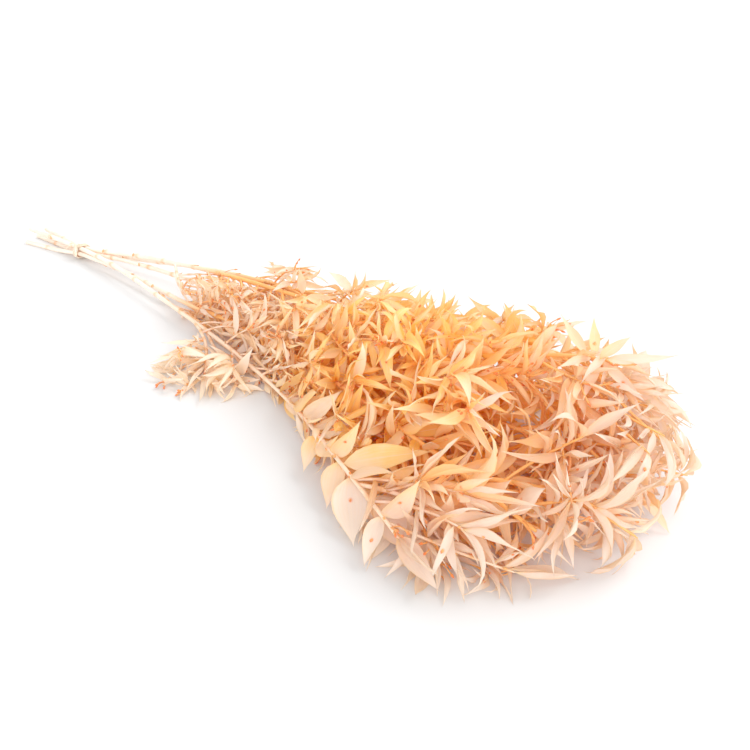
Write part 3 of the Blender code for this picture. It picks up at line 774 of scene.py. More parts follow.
    def fits_finely(self, leaf, shoot):
        """Dries the fine leaf, and keeps it if it is inside the outline and clear of the rest."""
        leaf.style(self.rng, 1)
        leaf.rise()
        if shoot in self.stems and not in_fine_outline(leaf.root):
            return False
        for point in [leaf.point(t, 0) for t in OUTLINE_LOOKS]:
            if in_outline(point) > 1 or not in_fine_outline(point):
                return False
        whole = fine_shape(leaf, TEST_ROWS, FINE_CLEARANCE)
        free = fine_shape(leaf, FREE_TEST_ROWS, FINE_CLEARANCE)
        outside = np.any(whole.low < LOW) or np.any(whole.high > HIGH)
        hiding = self.hides_stem(tested_points(leaf, TEST_ROWS).reshape(-1, 3))
        if outside or hiding or not self.clear(shoot, whole, free):
            return False
        self.leaves.append(leaf)
        self.keep(shoot, fine_shape(leaf, TEST_ROWS, 0))
        return True


def add_object(name, data):
    made = bpy.data.objects.new(name, data)
    bpy.context.scene.collection.objects.link(made)
    return made


def three_marks(first, second, third):
    """Three numbers for each point. Only the first has to be an array."""
    return np.stack(np.broadcast_arrays(first, second, third), axis=-1).astype(float)


class Skin:
    """The points and faces of one piece, with what its material reads at each point."""

    def __init__(self):
        self.points, self.faces, self.marks, self.count = [], [], {}, 0

    def add(self, points, faces, **marks):
        self.points.append(points)
        self.faces += [tuple(self.count + i for i in face) for face in faces]
        for name, values in marks.items():
            self.marks.setdefault(name, []).append(values)
        self.count += len(points)

    def piece(self, name, material, slot, node, sharp):
        """The mesh as an object in the node's place, with edges sharper than this angle left sharp."""
        points = np.clip(np.concatenate(self.points), LOW, HIGH)
        mesh = bpy.data.meshes.new(name)
        mesh.from_pydata(points.tolist(), [], self.faces)
        for mark, values in self.marks.items():
            layer = mesh.attributes.new(mark, "FLOAT_VECTOR", "POINT")
            layer.data.foreach_set("vector", np.concatenate(values).astype(np.float32).ravel())
        mesh.shade_smooth()
        mesh.set_sharp_from_angle(angle=math.radians(sharp))
        mesh.materials.append(material)
        made = add_object(name, mesh)
        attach(made, BODY)
        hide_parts(node)


def blade_topology():
    """(side, row and column of each of the closed blade's points, its faces). The sides share the rim."""
    rows, columns = len(BLADE_ROWS), len(BLADE_ACROSS)
    numbers, spots = {}, []

    def number(side, row, column):
        ends = row in (0, rows - 1)
        rim = ends or column in (0, columns - 1)
        key = (0 if rim else side, row, columns // 2 if ends else column)
        if key not in numbers:
            numbers[key] = len(spots)
            spots.append(key)
        return numbers[key]

    faces = []
    for side in (1, -1):
        for r in range(rows - 1):
            for c in range(columns - 1):
                ring = [number(side, *rc) for rc in ((r, c), (r, c + 1), (r + 1, c + 1), (r + 1, c))]
                ring = list(dict.fromkeys(ring))
                faces.append(tuple(ring if side < 0 else reversed(ring)))
    return np.array(spots), faces


BLADE_SPOTS, BLADE_FACES = blade_topology()


def add_leaf(skin, leaf, rng):
    """The closed blade: a thin lens in section, with a thicker foot and a keel under its midrib."""
    t, s = np.meshgrid(BLADE_ROWS, BLADE_ACROSS, indexing="ij")
    grid = leaf.surface(t, s)
    normals = sheet_normals(grid)
    half = (BLADE_HALF_THICKNESS + FOOT_THICKNESS * np.exp(-t / FOOT_SHARE)) * (1 - s**2)
    keel = KEEL * (1 - t) * (s == 0)
    side, row, column = BLADE_SPOTS.T
    lift = side * half[row, column] - (side < 0) * keel[row, column]
    points = grid[row, column] + normals[row, column] * lift[:, None]
    t, s = t[row, column], s[row, column]
    # The tone holds the dye with painted shade inside the bunch and a painted glow at its core.
    tone, warmth = dye_and_shade_at(points, leaf.chance)
    tone = tone + TONE_ALONG * (t - EVEN_AT)
    skin.add(
        points,
        BLADE_FACES,
        blade=three_marks(t, s, leaf.chance),
        dye=three_marks(tone, warmth, side < 0),
        spot=three_marks(np.full_like(t, leaf.bud_at), leaf.width / leaf.length, rng.random()),
    )


# How the dye lies, with painted shade and glow in it: tone runs from 0, deep orange, to 1, cream, and warmth
# from 0, yellow, to 1, pink. Tone is deeper inside the bunch as painted shade between the leaves, paler at
# its surface where the dye also faded, and deepest round the core as a painted glow of light through the
# leaves.
TONE_INSIDE, TONE_OF_SURFACE = 0.2, 0.38
TONE_AT_END, TONE_AT_FRONT, TONE_AT_FOOT, TONE_OF_SPRAY, TONE_AT_FAR_SIDE = 0.34, 0.42, 0.3, 0.9, 0.16
# The core's deeper orange is painted light: the glow of light through the stacked leaves in the bunch's
# middle.
CORE, CORE_REACH, TONE_OF_CORE = (468, -42), 62, -0.26
TONE_OF_CHANCE, TONE_ALONG, EVEN_AT = 0.4, 0.12, 0.4
PALER_LEAVES, PALER = (0.8, 0.88), 0.25
WARMTH, WARMTH_AT_END, WARMTH_AT_FRONT, WARMTH_AT_FOOT = 0.1, 0.9, 0.7, 0.5

# Where each change of the dye and of the painted shade starts and ends, in millimetres from the zero and the
# table, and last the surface's depth in the outline, over which the painted shade inside gives way to the
# paler surface.
END_X, WARM_END_X, FOOT_X, WARM_FOOT_X, SPRAY_X = (540, 605), (470, 600), (440, 320), (380, 300), (372, 330)
FRONT_Y, SPRAY_Y, FAR_SIDE_Y = (-57, -92), (-36, -52), (55, 95)
FRONT_Z = (45, 12)
SURFACE = (0.35, 0.95)


def outline_depth(x, y, z):
    """How far out in the main outline each place is, held at 1 past its surface."""
    knots, near, far, height = np.array(OUTLINE, dtype=float).T
    sides = np.where(y < 0, np.interp(x, knots, near), np.interp(x, knots, far))
    return np.minimum(1, np.hypot(y / sides, z / np.interp(x, knots, height)))


def dye_and_shade_at(points, chance):
    """(tone, warmth) at each of the points: the dye, with painted shade deep in the outline and a painted
    glow round the core.
    """
    x, y, z = (points - (ZERO_X, ZERO_Y, 0)).T / MM
    front = step_between(*FRONT_Y, y) * step_between(*FRONT_Z, z)
    end = step_between(*END_X, x)
    spray = step_between(*SPRAY_Y, y) * step_between(*SPRAY_X, x)
    # Painted glow of light through the leaves: deeper orange round the core.
    core = np.exp(-(((x - CORE[0]) ** 2 + (y - CORE[1]) ** 2) / CORE_REACH**2))
    # Painted shade: deeper orange deep in the outline, where the leaves shade each other; paler at its
    # surface, partly faded dye.
    tone = TONE_INSIDE + TONE_OF_SURFACE * step_between(*SURFACE, outline_depth(x, y, z))
    tone += TONE_AT_END * end + TONE_AT_FRONT * front + TONE_OF_SPRAY * spray + TONE_OF_CORE * core
    tone += TONE_AT_FOOT * step_between(*FOOT_X, x) + TONE_AT_FAR_SIDE * step_between(*FAR_SIDE_Y, y)
    tone += TONE_OF_CHANCE * (chance - 0.5) + PALER * step_between(*PALER_LEAVES, chance)
    foot = step_between(*WARM_FOOT_X, x) - spray
    warmth = WARMTH + WARMTH_AT_END * step_between(*WARM_END_X, x)
    warmth = warmth + WARMTH_AT_FRONT * front + WARMTH_AT_FOOT * foot
    return np.clip(tone, 0, 1), np.clip(warmth, 0, 1)


class Nodes:
    """Short ways to build a material's nodes."""

    def __init__(self, name):
        self.material = bpy.data.materials.new(name)
        self.material.use_nodes = True
        self.tree = self.material.node_tree
        self.shader = self.tree.nodes["Principled BSDF"]
        self.output = self.tree.nodes["Material Output"]

    def add(self, kind, inputs=(), **settings):
        node = self.tree.nodes.new(kind)
        for name, value in settings.items():
            setattr(node, name, value)
        for name, value in dict(inputs).items():
            self.put(node.inputs[name], value)
        return node

    def put(self, socket, value):
        if isinstance(value, bpy.types.NodeSocket):
            self.tree.links.new(value, socket)
        elif socket.type == "RGBA":
            socket.default_value = (*value, 1)
        else:
            socket.default_value = value

    def math(self, operation, *values, clamp=False):
        node = self.add("ShaderNodeMath", operation=operation, use_clamp=clamp)
        for socket, value in zip(node.inputs, values):
            self.put(socket, value)
        return node.outputs[0]

    def times(self, a, b):
        return self.math("MULTIPLY", a, b)

    def plus(self, a, b, clamp=False):
        return self.math("ADD", a, b, clamp=clamp)

    def spread(self, value, amount):
        """The noise value about zero, times amount."""
        return self.times(self.math("SUBTRACT", value, 0.5), amount)

    def step(self, value, low, high):
        """0 where value is at low, 1 where it is at high, and smooth between."""
        node = self.add(
            "ShaderNodeMapRange",
            {"Value": value, "From Min": low, "From Max": high},
            interpolation_type="SMOOTHSTEP",
        )
        return node.outputs["Result"]

    def mix(self, factor, a, b, blend="MIX"):
        node = self.add("ShaderNodeMix", data_type="RGBA", blend_type=blend, clamp_factor=True)
        self.put(node.inputs[0], factor)
        self.put(node.inputs[6], a)
        self.put(node.inputs[7], b)
        return node.outputs[2]

    def shade(self, colour, where, share, other, blend="MIX"):
        """The colour with this share of the other mixed in where it is wanted."""
        return self.mix(self.times(where, share), colour, other, blend)

    def ramp(self, factor, stops):
        node = self.add("ShaderNodeValToRGB", {"Fac": factor})
        elements = node.color_ramp.elements
        while len(elements) < len(stops):
            elements.new(0.5)
        for element, (place, colour) in zip(elements, stops):
            element.position = place
            element.color = (*colour, 1)
        return node.outputs["Color"]

    def noise(self, vector, scale, detail):
        node = self.add("ShaderNodeTexNoise", {"Vector": vector, "Scale": scale, "Detail": detail})
        return node.outputs["Fac"]

    def stretched_noise(self, place, stretch, scale, detail):
        """Noise at the place's three numbers, each times its own stretch."""
        x, y, z = (self.times(value, amount) for value, amount in zip(place, stretch))
        vector = self.add("ShaderNodeCombineXYZ", {"X": x, "Y": y, "Z": z})
        return self.noise(vector.outputs[0], scale, detail)

    def place(self):
        return self.add("ShaderNodeTexCoord").outputs["Object"]

    def mark(self, name):
        """The three numbers that the mesh holds under this name."""
        whole = self.add("ShaderNodeAttribute", attribute_name=name, attribute_type="GEOMETRY")
        split = self.add("ShaderNodeSeparateXYZ", {"Vector": whole.outputs["Vector"]})
        return [split.outputs[k] for k in range(3)]

    def finish(self, colour, roughness, pattern, height, relief):
        """Puts the colour, the roughness and the relief on the shader and gives the relief's normal.

        roughness is its least value and how much the pattern adds, and relief is its strength and its depth.
        """
        least, added = roughness
        strength, depth = relief
        bump = self.add("ShaderNodeBump", {"Height": height, "Strength": strength, "Distance": depth})
        normal = bump.outputs["Normal"]
        self.put(self.shader.inputs["Base Color"], colour)
        self.put(self.shader.inputs["Roughness"], self.plus(least, self.times(pattern, added)))
        self.put(self.shader.inputs["Normal"], normal)
        return normal


# Leaf colours, and the two ranges of the dye from deep to pale. The deep end also serves the painted shade
# inside the bunch and the painted glow at its core.
DEEP_ORANGE = (1.0, 0.68, 0.14)
ORANGE = (1.0, 0.78, 0.26)
PEACH = (1.0, 0.84, 0.47)
PALE_PEACH = (0.98, 0.85, 0.60)
CREAM = (0.98, 0.92, 0.84)
PINK_ORANGE = (1.0, 0.78, 0.44)
PINK_PEACH = (0.96, 0.78, 0.60)
PALE_PINK = (0.90, 0.78, 0.70)
FADED_PINK = (0.92, 0.84, 0.78)
EDGE_YELLOW = (0.93, 0.66, 0.20)
TIP_BROWN = (0.55, 0.27, 0.09)
UNDERSIDE = (0.97, 0.84, 0.66)
STAIN = (0.92, 0.34, 0.08)
THROUGH = (1.0, 0.89, 0.63)
YELLOW_DYE = [(0.02, DEEP_ORANGE), (0.3, ORANGE), (0.52, PEACH), (0.75, PALE_PEACH), (0.97, CREAM)]
PINK_DYE = [
    (0.02, DEEP_ORANGE), (0.25, PINK_ORANGE), (0.52, PINK_PEACH), (0.8, PALE_PINK), (0.98, FADED_PINK),
]

# Patterns as scale and detail, how far the streaks are stretched along the blade, across it and from leaf
# to leaf, and how much each pattern changes the tone.
LEAF_MOTTLE, LEAF_STREAKS = (95, 4), (1.6, 5)
STREAKS_STRETCH = (2.2, 9, 60)
MOTTLE_OF_TONE, STREAKS_OF_TONE = 0.55, 0.3

# The veins' number, waver, fineness and fading, then the other marks on the blade, each from where it is
# faint to where it is full. The yellow edge also needs strong streaks, and the brown tip an old leaf.
VEINS, VEIN_WAVER, VEIN_FINENESS, VEINS_FADE = 4.5, 1.4, 6.0, (1.0, 0.5)
MIDRIB, FOOT, TIP, STAIN_ROUND_BUD = (0.1, 0.0), (0.2, 0.0), (0.88, 1.0), (0.05, 0.015)
EDGE, EDGE_STREAKS, TIP_AGES = (0.86, 1.0), (0.3, 0.6), (0.3, 0.8)
VEIN_SHADE, MIDRIB_SHINE, UNDERSIDE_SHADE, FOOT_SHADE = 0.07, 0.28, 0.25, 0.45
EDGE_SHADE, TIP_SHADE, STAIN_SHADE = 0.5, 0.5, 0.5
LEAF_ROUGHNESS, LEAF_GLOSS = (0.42, 0.25), 0.35
VEIN_HEIGHT, STREAK_HEIGHT, LEAF_RELIEF = 0.35, 0.8, (0.5, 0.2 * MM)
SHARE_THROUGH = 0.5


def leaf_material():
    """Dyed leaf: patchy tone with painted shade and glow in it, fine veins from foot to tip, a pale midrib,
    and light that comes through it.
    """
    nodes = Nodes("leaf")
    t, s, chance = nodes.mark("blade")
    # Besides the dye, the tone carries painted shade inside the bunch and a painted glow at its core.
    tone, warmth, under = nodes.mark("dye")
    bud_at, slimness, age = nodes.mark("spot")
    side = nodes.math("ABSOLUTE", s)
    mottle = nodes.noise(nodes.place(), *LEAF_MOTTLE)
    streaks = nodes.stretched_noise((t, s, chance), STREAKS_STRETCH, *LEAF_STREAKS)
    tone = nodes.plus(tone, nodes.spread(mottle, MOTTLE_OF_TONE))
    tone = nodes.plus(tone, nodes.spread(streaks, STREAKS_OF_TONE), clamp=True)
    colour = nodes.mix(warmth, nodes.ramp(tone, YELLOW_DYE), nodes.ramp(tone, PINK_DYE))
    waver = nodes.plus(nodes.times(s, VEINS * math.pi), nodes.spread(streaks, VEIN_WAVER))
    veins = nodes.math("POWER", nodes.math("ABSOLUTE", nodes.math("COSINE", waver)), VEIN_FINENESS)
    veins = nodes.times(veins, nodes.step(t, *VEINS_FADE))
    colour = nodes.shade(colour, veins, VEIN_SHADE, ORANGE, "MULTIPLY")
    colour = nodes.shade(colour, nodes.step(side, *MIDRIB), MIDRIB_SHINE, CREAM)
    colour = nodes.shade(colour, under, UNDERSIDE_SHADE, UNDERSIDE)
    colour = nodes.shade(colour, nodes.step(t, *FOOT), FOOT_SHADE, ORANGE)
    edge = nodes.times(nodes.step(side, *EDGE), nodes.step(streaks, *EDGE_STREAKS))
    colour = nodes.shade(colour, edge, EDGE_SHADE, EDGE_YELLOW)
    tip = nodes.times(nodes.step(t, *TIP), nodes.step(age, *TIP_AGES))
    colour = nodes.shade(colour, tip, TIP_SHADE, TIP_BROWN)
    beside = nodes.times(side, nodes.times(slimness, 0.5))
    before = nodes.math("SUBTRACT", t, bud_at)
    far = nodes.math("SQRT", nodes.plus(nodes.times(beside, beside), nodes.times(before, before)))
    colour = nodes.shade(colour, nodes.step(far, *STAIN_ROUND_BUD), STAIN_SHADE, STAIN)
    relief = nodes.plus(nodes.times(veins, VEIN_HEIGHT), nodes.times(streaks, STREAK_HEIGHT))
    normal = nodes.finish(colour, LEAF_ROUGHNESS, mottle, relief, LEAF_RELIEF)
    nodes.put(nodes.shader.inputs["Specular IOR Level"], LEAF_GLOSS)
    through = nodes.mix(1.0, colour, THROUGH, "MULTIPLY")
    glow = nodes.add("ShaderNodeBsdfTranslucent", {"Color": through, "Normal": normal})
    both = {0: SHARE_THROUGH, 1: nodes.shader.outputs[0], 2: glow.outputs[0]}
    blend = nodes.add("ShaderNodeMixShader", both)
    nodes.tree.links.new(blend.outputs[0], nodes.output.inputs["Surface"])
    return nodes.material


# Bark colours.
STRAW = (0.86, 0.70, 0.56)
PALE_STRAW = (0.95, 0.84, 0.74)
TWIG_ORANGE = (0.93, 0.45, 0.12)
TWIG_RED = (0.80, 0.27, 0.08)
JOINT_BROWN = (0.76, 0.33, 0.08)
GROOVE = (0.74, 0.52, 0.32)
PITH = (0.93, 0.86, 0.72)

# Patterns as scale and detail, and the ridges' stretch: the first two round the shoot and the last along it.
BARK_RIDGES, BARK_PATCHES, BARK_FLECKS = (1.0, 4), (45, 4), (420, 3)
RIDGES_STRETCH = (7, 7, 55)
PALE_PATCHES, GROOVES, DARK_FLECKS, CUT_END = (0.35, 0.7), (0.5, 0.3), (0.62, 0.72), (-0.3, -0.9)
PATCHES_OF_DYE, GROOVE_SHADE, FLECK_SHADE, JOINT_SHADE = 0.7, 0.4, 0.3, 0.9
BARK_ROUGHNESS, FLECK_HEIGHT, BARK_RELIEF = (0.45, 0.3), 0.4, (0.7, 0.2 * MM)


def bark_material():
    """Straw on the bare stems, orange in the foliage, brown at the joints, with fine ridges along it."""
    nodes = Nodes("bark")
    foliage, joint, red = nodes.mark("bark")
    ridges = nodes.stretched_noise(nodes.mark("grain"), RIDGES_STRETCH, *BARK_RIDGES)
    patches = nodes.noise(nodes.place(), *BARK_PATCHES)
    flecks = nodes.noise(nodes.place(), *BARK_FLECKS)
    bare = nodes.mix(nodes.step(patches, *PALE_PATCHES), STRAW, PALE_STRAW)
    dyed = nodes.mix(red, TWIG_ORANGE, TWIG_RED)
    dyed_share = nodes.plus(foliage, nodes.spread(patches, PATCHES_OF_DYE), clamp=True)
    colour = nodes.mix(dyed_share, bare, dyed)
    colour = nodes.shade(colour, nodes.step(ridges, *GROOVES), GROOVE_SHADE, GROOVE, "MULTIPLY")
    colour = nodes.shade(colour, nodes.step(flecks, *DARK_FLECKS), FLECK_SHADE, JOINT_BROWN)
    colour = nodes.shade(colour, joint, JOINT_SHADE, JOINT_BROWN)
    colour = nodes.mix(nodes.step(joint, *CUT_END), colour, PITH)
    height = nodes.plus(ridges, nodes.times(flecks, FLECK_HEIGHT))
    nodes.finish(colour, BARK_ROUGHNESS, ridges, height, BARK_RELIEF)
    return nodes.material


# Bud and scale colours, from foot to tip.
BUD_STOPS = [(0.0, (0.92, 0.45, 0.12)), (0.45, (0.88, 0.22, 0.05)), (0.9, (0.66, 0.12, 0.03))]
SCALE_STOPS = [(0.0, (0.55, 0.24, 0.08)), (0.5, (0.80, 0.42, 0.15)), (1.0, (0.62, 0.30, 0.10))]
BUD_LIGHT = (0.95, 0.5, 0.16)
BUD_GRAIN, GRAIN_OF_RISE, LIGHT_SHARE = (700, 3), 0.5, 0.35
BUD_ROUGHNESS, BUD_RELIEF = (0.38, 0.3), (0.6, 0.15 * MM)


def bud_material():
    """Orange at a bud's foot and red at its tip, and papery brown on the scales."""
    nodes = Nodes("bud")
    height, papery, chance = nodes.mark("bud")
    grain = nodes.noise(nodes.place(), *BUD_GRAIN)
    rise = nodes.plus(height, nodes.spread(grain, GRAIN_OF_RISE), clamp=True)
    colour = nodes.mix(papery, nodes.ramp(rise, BUD_STOPS), nodes.ramp(rise, SCALE_STOPS))
    colour = nodes.shade(colour, chance, LIGHT_SHARE, BUD_LIGHT)
    nodes.finish(colour, BUD_ROUGHNESS, grain, grain, BUD_RELIEF)
    return nodes.material


RAFFIA_DARK, RAFFIA_PALE, RAFFIA_GROOVE = (0.82, 0.66, 0.47), (0.95, 0.85, 0.70), (0.66, 0.46, 0.28)
RAFFIA_FIBRES, FIBRES_STRETCH, RAFFIA_PATCHES = (1.0, 5), (12, 12, 90), (160, 3)
PALE_RAFFIA, RAFFIA_GROOVES, RAFFIA_GROOVE_SHADE = (0.3, 0.7), (0.52, 0.36), 0.6
RAFFIA_ROUGHNESS, RAFFIA_RELIEF = (0.5, 0.3), (0.8, 0.25 * MM)


def raffia_material():
    """Straw-coloured strips with long fibres and darker grooves between them."""
    nodes = Nodes("raffia")
    fibres = nodes.stretched_noise(nodes.mark("grain"), FIBRES_STRETCH, *RAFFIA_FIBRES)
    patches = nodes.noise(nodes.place(), *RAFFIA_PATCHES)
    colour = nodes.mix(nodes.step(patches, *PALE_RAFFIA), RAFFIA_DARK, RAFFIA_PALE)
    colour = nodes.shade(colour, nodes.step(fibres, *RAFFIA_GROOVES), RAFFIA_GROOVE_SHADE, RAFFIA_GROOVE)
    nodes.finish(colour, RAFFIA_ROUGHNESS, fibres, fibres, RAFFIA_RELIEF)
    return nodes.material


def frames_along(points):
    """(tangent, side, rise) at each point, turned as little as possible from one to the next."""
    made = []
    side = tangent_at(points, 0).cross(UP).normalized()
    for i in range(len(points)):
        tangent = tangent_at(points, i)
        side = (side - tangent * side.dot(tangent)).normalized()
        made.append((tangent, side, tangent.cross(side)))
    return made


def tube_faces(rings, sides):
    """The quads round a tube, and a fan at each end round a point of its own."""
    faces = []
    for r in range(rings - 1):
        for k in range(sides):
            a, b = r * sides + k, r * sides + (k + 1) % sides
            faces.append((a, b, b + sides, a + sides))
    foot, tip = rings * sides, rings * sides + 1
    last = (rings - 1) * sides
    for k in range(sides):
        faces.append((foot, (k + 1) % sides, k))
        faces.append((tip, last + k, last + (k + 1) % sides))
    return faces


def add_tube(skin, points, axes, marks, sides, ridge=0.0):
    """A closed tube. axes gives each ring's two half axes as vectors, and marks its bark's three numbers."""
    angles = np.arange(sides) * math.tau / sides
    swell = 1 + ridge * np.cos(angles * sides / 2)
    rings, grains = [], []
    distance = 0.0
    for i, (point, (first, second)) in enumerate(zip(points, axes)):
        if i:
            distance += (point - points[i - 1]).length
        ring = np.outer(np.cos(angles) * swell, first) + np.outer(np.sin(angles) * swell, second)
        rings.append(ring + np.array(point))
        grains.append(three_marks(np.cos(angles), np.sin(angles), distance))
    rings.append(np.array((points[0], points[-1])))
    grains.append(np.array(((0, 0, 0), (0, 0, distance))))
    bark = np.concatenate((np.repeat(marks, sides, axis=0), marks[:1], marks[-1:]))
    skin.add(np.concatenate(rings), tube_faces(len(points), sides), grain=np.concatenate(grains), bark=bark)


def round_axes(points, radii):
    return [(side * radius, rise * radius) for (_, side, rise), radius in zip(frames_along(points), radii)]


STEM_SIDES, BRANCH_SIDES, TWIG_SIDES, STALK_SIDES = 12, 8, 6, 5
STEM_RIDGE = 0.035
FINE_STEP = 4 * MM
STEM_JOINTS, TWIG_JOINTS = (34 * MM, 62 * MM), (9 * MM, 15 * MM)
JOINT_SWELL, JOINT_REACH = 0.22, 2.2 * MM
JOINT_STRENGTH, TIP_TAPER = (0.5, 1.0), 0.6
CUT_BEVEL, CUT_SHARE = 0.08 * MM, 0.86
DYE_STARTS, DYE_FULL = 160, 262
DYED_BARK = {"stem_front": 0.3}


def bark_marks(points, red):
    """(foliage, joint, red) at each point of a route, with no joints yet."""
    places = np.array([(point.x - ZERO_X) / MM for point in points])
    return three_marks(step_between(DYE_STARTS, DYE_FULL, places), 0, red)


def joint_shares(length, spacing, rng):
    """The joints' places as shares of the length."""
    shares = []
    place = rng.uniform(*spacing)
    while place < length:
        shares.append(place / length)
        place += rng.uniform(*spacing)
    return shares


def add_shoot(skin, shoot, sides, ridge, joints, red, rng):
    """The shoot's bark, smoothed, with a swollen ring at each joint and pith where it was cut."""
    points = smooth_route(shoot.points, FINE_STEP)
    places = np.linspace(0, 1, len(points))
    radii = np.interp(places, np.linspace(0, 1, len(shoot.radii)), shoot.radii)
    rings = [places[np.argmin(np.abs(places - share))] for share in joints]
    nearest = np.min(np.abs(places[:, None] - np.array([-1.0, *rings])), axis=1) * shoot.length()
    joint = np.exp(-((nearest / JOINT_REACH) ** 2))
    radii = radii * (1 + JOINT_SWELL * joint)
    radii[-1] *= TIP_TAPER
    marks = bark_marks(points, red)
    marks[:, 0] *= DYED_BARK.get(shoot.stem, 1)
    marks[:, 1] = joint * rng.uniform(*JOINT_STRENGTH)
    axes = round_axes(points, radii)
    cut_point = points[0] - tangent_at(points, 0) * CUT_BEVEL
    cut_axes = tuple(axis * CUT_SHARE for axis in axes[0])
    cut_mark = marks[0] * (1, 0, 1) - (0, 1, 0)
    add_tube(skin, [cut_point, *points], [cut_axes, *axes], np.vstack((cut_mark, marks)), sides, ridge)


BEAD_SIDES = 6
BEAD_PROFILE = ((0.0, 0.45), (0.22, 0.92), (0.5, 1.0), (0.78, 0.62), (0.94, 0.22))
BEAD_FOOT, BEAD_TIP, BEAD_SUNK = 0.33, 0.72, 0.3


def add_bead(skin, centre, along, radius, length, papery, chance):
    """A pointed bud: rings that swell and close along its length."""
    along = along.normalized()
    side = along.orthogonal().normalized()
    rise = along.cross(side)
    angles = np.arange(BEAD_SIDES) * math.tau / BEAD_SIDES
    circle = np.outer(np.cos(angles), side) + np.outer(np.sin(angles), rise)
    rings = [
        circle * radius * swell + np.array(centre + along * (length * (place - BEAD_SUNK)))
        for place, swell in BEAD_PROFILE
    ]
    rings.append(np.array((centre - along * (length * BEAD_FOOT), centre + along * (length * BEAD_TIP))))
    heights = np.concatenate((np.repeat([place for place, _ in BEAD_PROFILE], BEAD_SIDES), (0, 1)))
    marks = three_marks(heights, papery, chance)
    skin.add(np.concatenate(rings), tube_faces(len(BEAD_PROFILE), BEAD_SIDES), bud=marks)


SCALE_ROWS, SCALE_COLUMNS = 5, 5
SCALE_HALF_THICKNESS = 0.1 * MM
SCALE_HALF_ANGLE, SCALE_POINTEDNESS, SCALE_SUNK = 0.95, 1.4, 0.15
SCALE_GAP, SCALE_LIFT = 0.15, 0.9


def add_scale(skin, root, forward, outward, radius, length, chance):
    """A papery, pointed scale that wraps the shoot at a joint and lifts off it towards its tip."""
    side = forward.cross(outward)
    points = []
    for layer in (1, -1):
        for t in np.linspace(0, 1, SCALE_ROWS):
            width = SCALE_HALF_ANGLE * (1 - t**SCALE_POINTEDNESS)
            reach = radius + (SCALE_GAP + SCALE_LIFT * t**2) * MM + layer * SCALE_HALF_THICKNESS
            for angle in np.linspace(-width, width, SCALE_COLUMNS):
                spot = outward * math.cos(angle) + side * math.sin(angle)
                points.append(root + forward * (length * (t - SCALE_SUNK)) + spot * reach)
    count = SCALE_ROWS * SCALE_COLUMNS
    top = sheet_faces(SCALE_ROWS, SCALE_COLUMNS)
    faces = [tuple(reversed(face)) for face in top] + [tuple(i + count for i in face) for face in top]
    numbers = np.arange(count).reshape(SCALE_ROWS, SCALE_COLUMNS)
    rim = [*numbers[0, :-1], *numbers[:-1, -1], *numbers[-1, :0:-1], *numbers[:0:-1, 0]]
    faces += [(a, b, b + count, a + count) for a, b in zip(rim, rim[1:] + rim[:1])]
    heights = np.tile(np.repeat(np.linspace(0, 1, SCALE_ROWS), SCALE_COLUMNS), 2)
    skin.add(np.array(points), faces, bud=three_marks(heights, 1, chance))


# Buds on the blades: the shares of leaves that bear one, where it sits along them, and its form. Two
# scales lean out from its foot.
BUDDED_LEAVES, BUDDED_WIDE_LEAVES = 0.16, 0.7
BUD_PLACES, NO_BUD = (0.3, 0.5), -9.0
LEAF_BUD_RADIUS, LEAF_BUD_LENGTH, LEAF_BUD_SIZES = 0.68 * MM, 2.4 * MM, (0.75, 1.15)
LEAF_BUD_HEIGHT, LEAF_BUD_LEAN = 0.4 * MM, 0.5
BLADE_STEP_ALONG, BLADE_STEP_ACROSS = 0.04, 0.3
BUD_SCALE_TURNS, BUD_SCALE_LEAN, BUD_SCALE_PAPERY = (-0.7, 0.7), 0.9, 0.6
BUD_SCALE_RADIUS, BUD_SCALE_LENGTH = 0.6, 0.8

# Buds between leaf and shoot.
AXIL_BUDS = 0.22
AXIL_BUD_RADIUS, AXIL_BUD_LENGTH = 0.7 * MM, 2.6 * MM
AXIL_BUD_OUT, AXIL_BUD_LEAST_HEIGHT = 1.2 * MM, 1.5 * MM

# Bud stalks at the tips, the colour of twigs, and the scales at the foot of twigs and at the stems' joints.
STALK_RADIUS, STALK_TAPER = 0.36 * MM, (1.2, 0.9)
STALK_LENGTH, STALK_BOW, STALK_SPREAD = (5 * MM, 15 * MM), 0.12, (0.2, 0.9)
STALK_POINTS = 5
STALK_REACH = 1.04
STALK_BUD_RADIUS, STALK_BUD_LENGTH, STALK_BUD_LEAST_HEIGHT = 0.7 * MM, 3.4 * MM, 1.0 * MM
STALK_BUD_LIGHTEST = 0.5
CLUSTERED_TIPS, CLUSTER_AT, STALKS_IN_CLUSTER = 0.4, 0.99, (2, 4)
END_STALKS, END_STALKS_AT, END_STALKS_RED = {"stem_front": 7, "stem_near": 5}, 0.985, 0.5
RED_TWIGS, RED, FAINT_RED = 0.35, (0.4, 1.0), (0.0, 0.25)
SCALED_JOINTS, STEM_SCALE_LENGTH = 0.6, (3.6, 5.5)
TWIG_SCALE_AT, TWIG_SCALE_RADIUS, TWIG_SCALE_LENGTH = 0.06, 1.1, (2.6, 4)

# Edges sharper than these angles, in degrees, stay sharp.
SHARP_BLADE_EDGE, SHARP_EDGE = 75, 60


